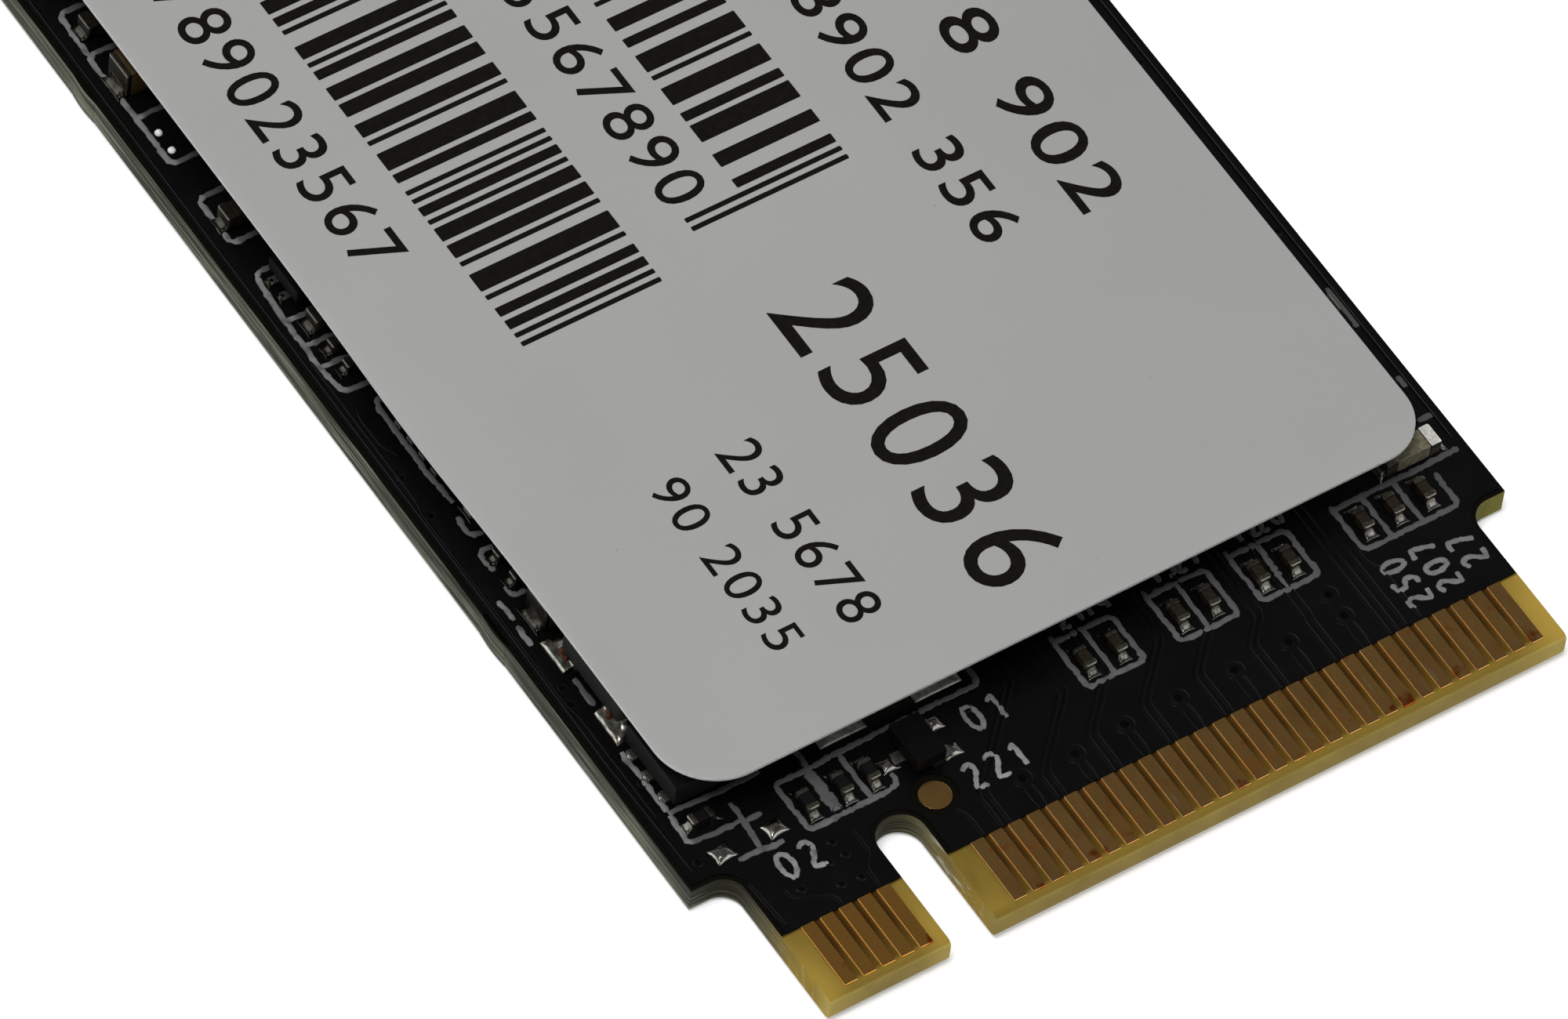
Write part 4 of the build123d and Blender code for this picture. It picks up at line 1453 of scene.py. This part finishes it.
def bank_shape(core_half_x, seed):
    """Solder on an inductor's pad with a rounded rim, banked up against the core's end towards local -Y."""
    thinnest = 0.008
    flat = 0.13
    fade = 0.1
    core_margin = 0.12

    def rounding(distance):
        return math.sqrt(1 - (1 - min(1.0, max(0.0, distance) / bank_rim)) ** 2)

    def shape(u, v, t):
        x = bank_half_x * math.sin(u * math.pi / 2)
        y = bank_half_y * math.sin(v * math.pi / 2)
        within = min(1.0, max(0.0, (core_half_x - abs(x)) / core_margin))
        off_core = max(0.0, y - (bank_half_y - bank_ledge))
        crest = flat + bank_climb * within * math.exp(-off_core / fade)
        lip = rounding(bank_half_x - abs(x)) * rounding(bank_half_y - y)
        return Vector((x, y, t * (thinnest + crest * lip * (1 + 0.22 * ripple(x, y, seed)))))
    return shape


def chip_ends(node):
    """Feet of a chip's two end faces, the turn that looks outward, and the part's width and height."""
    low, high = span(node)
    kind = next((k for k in end_lengths if k in node), "small")
    middle = (low + high) / 2
    lies_along_y = node in front_row
    half = (high.y - low.y if lies_along_y else high.x - low.x) / 2 + end_lengths[kind]
    width = high.x - low.x if lies_along_y else high.y - low.y
    turns = (math.pi / 2, -math.pi / 2) if lies_along_y else (0.0, math.pi)
    feet = [(middle.x + half * math.cos(turn), middle.y + half * math.sin(turn)) for turn in turns]
    return zip(feet, turns), width, high.z - deck


class CARD_OT_solder(bpy.types.Operator):
    """Pour the solder joints, lumps and domes"""

    bl_idname = "card.solder"
    bl_label = "Solder"

    def execute(self, context):
        joint, side_painted_shade_solder, lump, smooth = [solder_finish(name) for name in solder_finishes]
        dot = grained_finish("painted_highlight_dot_solder")
        tin = grained_finish("crystal_land_tin")
        flux = grained_finish("flux_residue")
        block = block_mesh(small_cuts)
        wide_block = block_mesh(broad_cuts)
        finish_node("front_solder", joint)
        # The side row's solder and the load switch's lumps take the painted-shade copy
        finish_node("side_solder", side_painted_shade_solder)
        seeds = itertools.count(1)
        poured = {"lands": [], "flux": [], "front": [], "side": []}

        def pour(row, mesh, finish, place, turn, shape, *sizes):
            poured[row].append(shaped_block(mesh, finish, place, turn, shape(*sizes, next(seeds))))

        for row, nodes, finish, climb in (
            ("front", front_row + corner_parts, joint, front_climb),
            ("side", side_row, side_painted_shade_solder, side_climb),
        ):
            for node in nodes:
                ends, width, height = chip_ends(node)
                sizes = (joint_reach + joint_growth * height, width + joint_spare, climb * height)
                for foot, turn in ends:
                    pour(row, block, finish, foot, turn, fillet_shape, *sizes)
        for sizes, turn, places in pad_lumps:
            for x, y in places:
                pour("front", block, lump, (x, tip_y + y), turn, pillow_shape, *sizes)
        low, high = span("crystal_base")
        inset_x, inset_y = crystal_land_inset
        for x in (low.x + inset_x, high.x - inset_x):
            for y in (low.y + inset_y, high.y - inset_y):
                pour("lands", wide_block, tin, (x, y), 0.0, pillow_shape, *crystal_land)
        low, high = span("regulator_leads")
        inset_x, inset_y = leg_dome_inset
        for y in (low.y + inset_y, (low.y + high.y) / 2, high.y - inset_y):
            pour("side", block, lump, (low.x + inset_x, y), 0.0, dome_shape, *leg_dome)
        low, high = span("load_switch_leads")
        inset_x, inset_y = switch_lump_inset
        for y in (low.y + inset_y, high.y - inset_y):
            pour("side", block, side_painted_shade_solder, (low.x + inset_x, y), 0.0, pillow_shape, *switch_lump)
        # Domes on bare pads in the painted-highlight white
        for x, y in pad_domes:
            pour("side", block, dot, (x, tip_y + y), 0.0, dome_shape, *pad_dome)
        for node in ("inductor_core_1", "inductor_core_2"):
            low, high = span(node)
            middle = (low + high) / 2
            reach = bank_ledge - bank_half_y
            for y, turn in ((high.y + reach, 0.0), (low.y - reach, math.pi)):
                pour("side", wide_block, smooth, (middle.x, y), turn, bank_shape, high.x - middle.x)
        for x, y, radius in flux_spots:
            pour("flux", block, flux, (x, tip_y + y), 0.0, dome_shape, radius, flux_height)
        settle(joined(poured["lands"]), "crystal_lands", ())
        settle(joined(poured["flux"]), "flux_residue", ())
        for row in ("front", "side"):
            settle(joined(poured[row]), f"{row}_solder_joints", (), (f"{row}_solder",))
        return {"FINISHED"}


def sag(x, y, sizes):
    """How far the label dips below flat at a place on the card."""
    edge = min(1.0, max(0.0, (label_low.x + sag_reach - x) / sag_reach))
    run = (y - tip_y - sizes.label_sag_y) / sag_length
    return sizes.label_sag * edge * edge * math.exp(-run * run)


def follow_label(piece, sizes):
    """Bend a piece that lies on the label with it."""
    for vertex in piece.data.vertices:
        vertex.co.z -= sag(vertex.co.x, vertex.co.y, sizes)


def placed_plane(low, high, z):
    """Flat sheet between two corners, in millimetres."""
    deselect()
    bpy.ops.mesh.primitive_plane_add(size=1)
    sheet = bpy.context.object
    middle = ((low[0] + high[0]) / 2, (low[1] + high[1]) / 2, z)
    stretch = Matrix.Diagonal((high[0] - low[0], high[1] - low[1], 1, 1))
    sheet.data.transform(Matrix.Translation(middle) @ stretch)
    return sheet


class CARD_OT_label(bpy.types.Operator):
    """Cut the label, let its left edge sag and give it thickness"""

    bl_idname = "card.label"
    bl_label = "Label"

    def execute(self, context):
        film = label_finish(context.scene.card_colours)
        finish_node("label_sheet", film)
        size = label_high - label_low
        sheet = placed_plane(label_low, label_high, label_high.z)

        def front_right(corner):
            return corner.co.x > label_high.x - touch and corner.co.y < label_low.y + touch

        def others(corner):
            return not front_right(corner)

        for radius, wanted in ((label_radius, others), (front_right_radius, front_right)):
            choose(sheet, "VERT", wanted)
            bpy.ops.mesh.bevel(offset=radius, segments=corner_segments, affect="VERTICES")
            leave_editing()
        cuts = [((label_low.x + sag_cut * (n + 1), 0, 0), (1, 0, 0)) for n in range(sag_cuts)]
        rows = int(size.y / length_cut)
        cuts += [((0, label_low.y + length_cut * (n + 1), 0), (0, 1, 0)) for n in range(rows)]
        for point, normal in cuts:
            choose_all(sheet)
            bpy.ops.mesh.bisect(plane_co=point, plane_no=normal)
            leave_editing()
        follow_label(sheet, context.scene.card_sizes)
        modify(sheet, "thickness", "SOLIDIFY", thickness=size.z, offset=-1, material_offset_rim=1)
        modify(sheet, "cut edge", "BEVEL", width=cut_edge, segments=2, limit_method="ANGLE",
               angle_limit=cut_edge_angle)
        merge_points(sheet)
        bpy.ops.object.shade_smooth_by_angle(angle=smooth_angle)
        # The label's cut edge takes the painted-highlight finish
        rims = [int(abs(face.normal.z) < rim_slope) for face in sheet.data.polygons]
        settle(sheet, "label_film", (film, grained_finish("label_cut_edge_painted_highlight")), ("label_sheet",))
        sheet.data.polygons.foreach_set("material_index", rims)
        return {"FINISHED"}


def printed_line(text, weight, baseline, top, start, end, thickness):
    """Digits set along the label, reading towards the tip, fitted between two heights and two ends."""
    deselect()
    bpy.ops.object.text_add()
    line = bpy.context.object
    line.data.body = text
    line.data.extrude = thickness / 2
    line.data.offset = weight
    line.data.space_character = digit_spacing
    line.data.resolution_u = 5
    bpy.ops.object.convert(target="MESH")
    line = bpy.context.object
    xs = [v.co.x for v in line.data.vertices]
    ys = [v.co.y for v in line.data.vertices]
    left, foot = min(xs), min(ys)
    along = (start - end) / (max(xs) - left)
    up = (top - baseline) / (max(ys) - foot)
    for vertex in line.data.vertices:
        x, y, z = vertex.co
        vertex.co = (baseline + (y - foot) * up, tip_y + start - (x - left) * along, label_high.z + z)
    return line


def bar_field(seed, reach, run, guard):
    """Plain bars of drawn widths and gaps, of which the first ones reach down further."""
    draw = random.Random(seed)
    left, right = reach
    y, end = run
    bars = []
    while y < end:
        is_guard = len(bars) < guard_bars
        width = bar_module * (1 if is_guard else draw.choice(bar_widths))
        low = guard if is_guard else left
        bars.append(placed_plane((low, tip_y + y), (right, tip_y + y + width), label_high.z))
        y += width + bar_module * (1 if is_guard else draw.choice(bar_gaps))
    return bars


class CARD_OT_label_print(bpy.types.Operator):
    """Print the numbers and bars on the label"""

    bl_idname = "card.label_print"
    bl_label = "Label print"

    def execute(self, context):
        sizes = context.scene.card_sizes
        ink = print_finish(context.scene.card_colours)
        numbers = joined([printed_line(*line, sizes.print_height) for line in label_lines])
        follow_label(numbers, sizes)
        settle(numbers, "label_numbers", (ink,))
        strips = joined([bar for field in label_bars for bar in bar_field(*field)])
        choose_all(strips)
        bpy.ops.mesh.bevel(offset=bar_corner, segments=2, affect="VERTICES")
        leave_editing()
        modify(strips, "ink film", "SOLIDIFY", thickness=sizes.print_height, offset=0.0)
        settle(strips, "label_bars", (ink,))
        return {"FINISHED"}


def sky(world):
    """Studio surround: bright near the horizon, dim overhead."""
    world.use_nodes = True
    nodes, links = world.node_tree.nodes, world.node_tree.links
    split = nodes.new("ShaderNodeSeparateXYZ")
    links.new(nodes.new("ShaderNodeTexCoord").outputs["Generated"], split.inputs[0])
    ramp = nodes.new("ShaderNodeValToRGB")
    fill_ramp(ramp, [(place, (level,) * 3) for place, level in sky_levels])
    links.new(split.outputs["Z"], ramp.inputs["Fac"])
    links.new(ramp.outputs["Color"], nodes["Background"].inputs["Color"])


def floor_finish():
    """Pale floor that shows white to the camera, keeps the shadow and is open from below."""
    made = Finish("pale_floor", floor_tone, 1.0)
    nodes = made.nodes
    nodes.remove(made.shader)
    coat = nodes.new("ShaderNodeBsdfDiffuse")
    made.put(coat.inputs["Color"], (*floor_tone, 1.0))
    rays = nodes.new("ShaderNodeLightPath").outputs
    seen = made.either(rays["Is Camera Ray"], rays["Is Glossy Ray"], rays["Is Transmission Ray"])
    glow = nodes.new("ShaderNodeEmission")
    made.put(glow.inputs["Strength"], made.both(seen, floor_glow))
    lit = nodes.new("ShaderNodeAddShader")
    made.put(lit.inputs[0], coat.outputs[0])
    made.put(lit.inputs[1], glow.outputs[0])
    one_sided = nodes.new("ShaderNodeMixShader")
    made.put(one_sided.inputs[0], nodes.new("ShaderNodeNewGeometry").outputs["Backfacing"])
    made.put(one_sided.inputs[1], lit.outputs[0])
    made.put(one_sided.inputs[2], nodes.new("ShaderNodeBsdfTransparent").outputs[0])
    made.put(nodes["Material Output"].inputs["Surface"], one_sided.outputs[0])
    return made.material


def add_lamp(name, direction, size, energy, in_mirrors):
    """Soft lamp that looks at the card from a direction."""
    lamp = bpy.data.lights.new(name, "AREA")
    lamp.energy = energy
    lamp.size = size
    holder = bpy.data.objects.new(name, lamp)
    bpy.context.scene.collection.objects.link(holder)
    holder.visible_glossy = in_mirrors
    away = Vector(direction).normalized()
    holder.location = Vector(lamp_target) * MM + away * lamp_distance
    holder.rotation_mode = "QUATERNION"
    holder.rotation_quaternion = (-away).to_track_quat("-Z", "Y")


def add_camera(settings):
    """Camera at the photograph's viewing angle."""
    camera = bpy.data.cameras.new("camera")
    camera.sensor_width = sensor_width
    camera.lens = settings.lens
    camera.clip_start, camera.clip_end = clip_range
    eye = bpy.data.objects.new("camera", camera)
    bpy.context.scene.collection.objects.link(eye)
    place, aim = Vector(settings.camera_place), Vector(settings.camera_aim)
    sight = (aim - place).normalized()
    level = sight.cross(Vector((0, 0, 1))).normalized()
    rise = level.cross(sight)
    turn = settings.camera_roll
    right = level * math.cos(turn) + rise * math.sin(turn)
    up = rise * math.cos(turn) - level * math.sin(turn)
    eye.matrix_world = Matrix.Translation(place * MM) @ Matrix((right, up, -sight)).transposed().to_4x4()
    return eye


class CARD_OT_stage(bpy.types.Operator):
    """Set the floor, the soft lamps and the camera"""

    bl_idname = "card.stage"
    bl_label = "Stage"

    def execute(self, context):
        scene = context.scene
        scene.view_settings.view_transform = "Standard"
        deselect()
        bpy.ops.mesh.primitive_plane_add(size=floor_size, location=(0, 0, (floor_side - floor_gap) * MM))
        floor = context.object
        floor.name = "floor"
        floor.data.materials.append(floor_finish())
        scene.world = bpy.data.worlds.new("studio")
        sky(scene.world)
        for name, (direction, size, share, in_mirrors) in lamps.items():
            add_lamp(name, direction, size, scene.card_stage.lamp_power * share, in_mirrors)
        scene.camera = add_camera(scene.card_stage)
        return {"FINISHED"}


class CARD_PT_dresser(bpy.types.Panel):
    """Lists the steps of the dressing"""

    bl_idname = "CARD_PT_dresser"
    bl_label = "Drive card"
    bl_space_type = "VIEW_3D"
    bl_region_type = "UI"
    bl_category = "Card"

    def draw(self, context):
        for operator in operators:
            self.layout.operator(operator.bl_idname)
        for group in (context.scene.card_sizes, context.scene.card_colours, context.scene.card_stage):
            for name in group.__annotations__:
                self.layout.prop(group, name)


operators = (
    CARD_OT_board,
    CARD_OT_contacts,
    CARD_OT_tracks,
    CARD_OT_board_print,
    CARD_OT_packages,
    CARD_OT_chip_parts,
    CARD_OT_solder,
    CARD_OT_label,
    CARD_OT_label_print,
    CARD_OT_stage,
)
groups = (CardSizes, CardColours, StageSettings)


def register():
    for item in (*groups, *operators, CARD_PT_dresser):
        bpy.utils.register_class(item)
    bpy.types.Scene.card_sizes = bpy.props.PointerProperty(type=CardSizes)
    bpy.types.Scene.card_colours = bpy.props.PointerProperty(type=CardColours)
    bpy.types.Scene.card_stage = bpy.props.PointerProperty(type=StageSettings)


def unregister():
    del bpy.types.Scene.card_stage
    del bpy.types.Scene.card_colours
    del bpy.types.Scene.card_sizes
    for item in reversed((*groups, *operators, CARD_PT_dresser)):
        bpy.utils.unregister_class(item)


def main():
    register()
    bpy.ops.card.board()
    bpy.ops.card.contacts()
    bpy.ops.card.tracks()
    bpy.ops.card.board_print()
    bpy.ops.card.packages()
    bpy.ops.card.chip_parts()
    bpy.ops.card.solder()
    bpy.ops.card.label()
    bpy.ops.card.label_print()
    bpy.ops.card.stage()


if __name__ == "__main__":
    main()
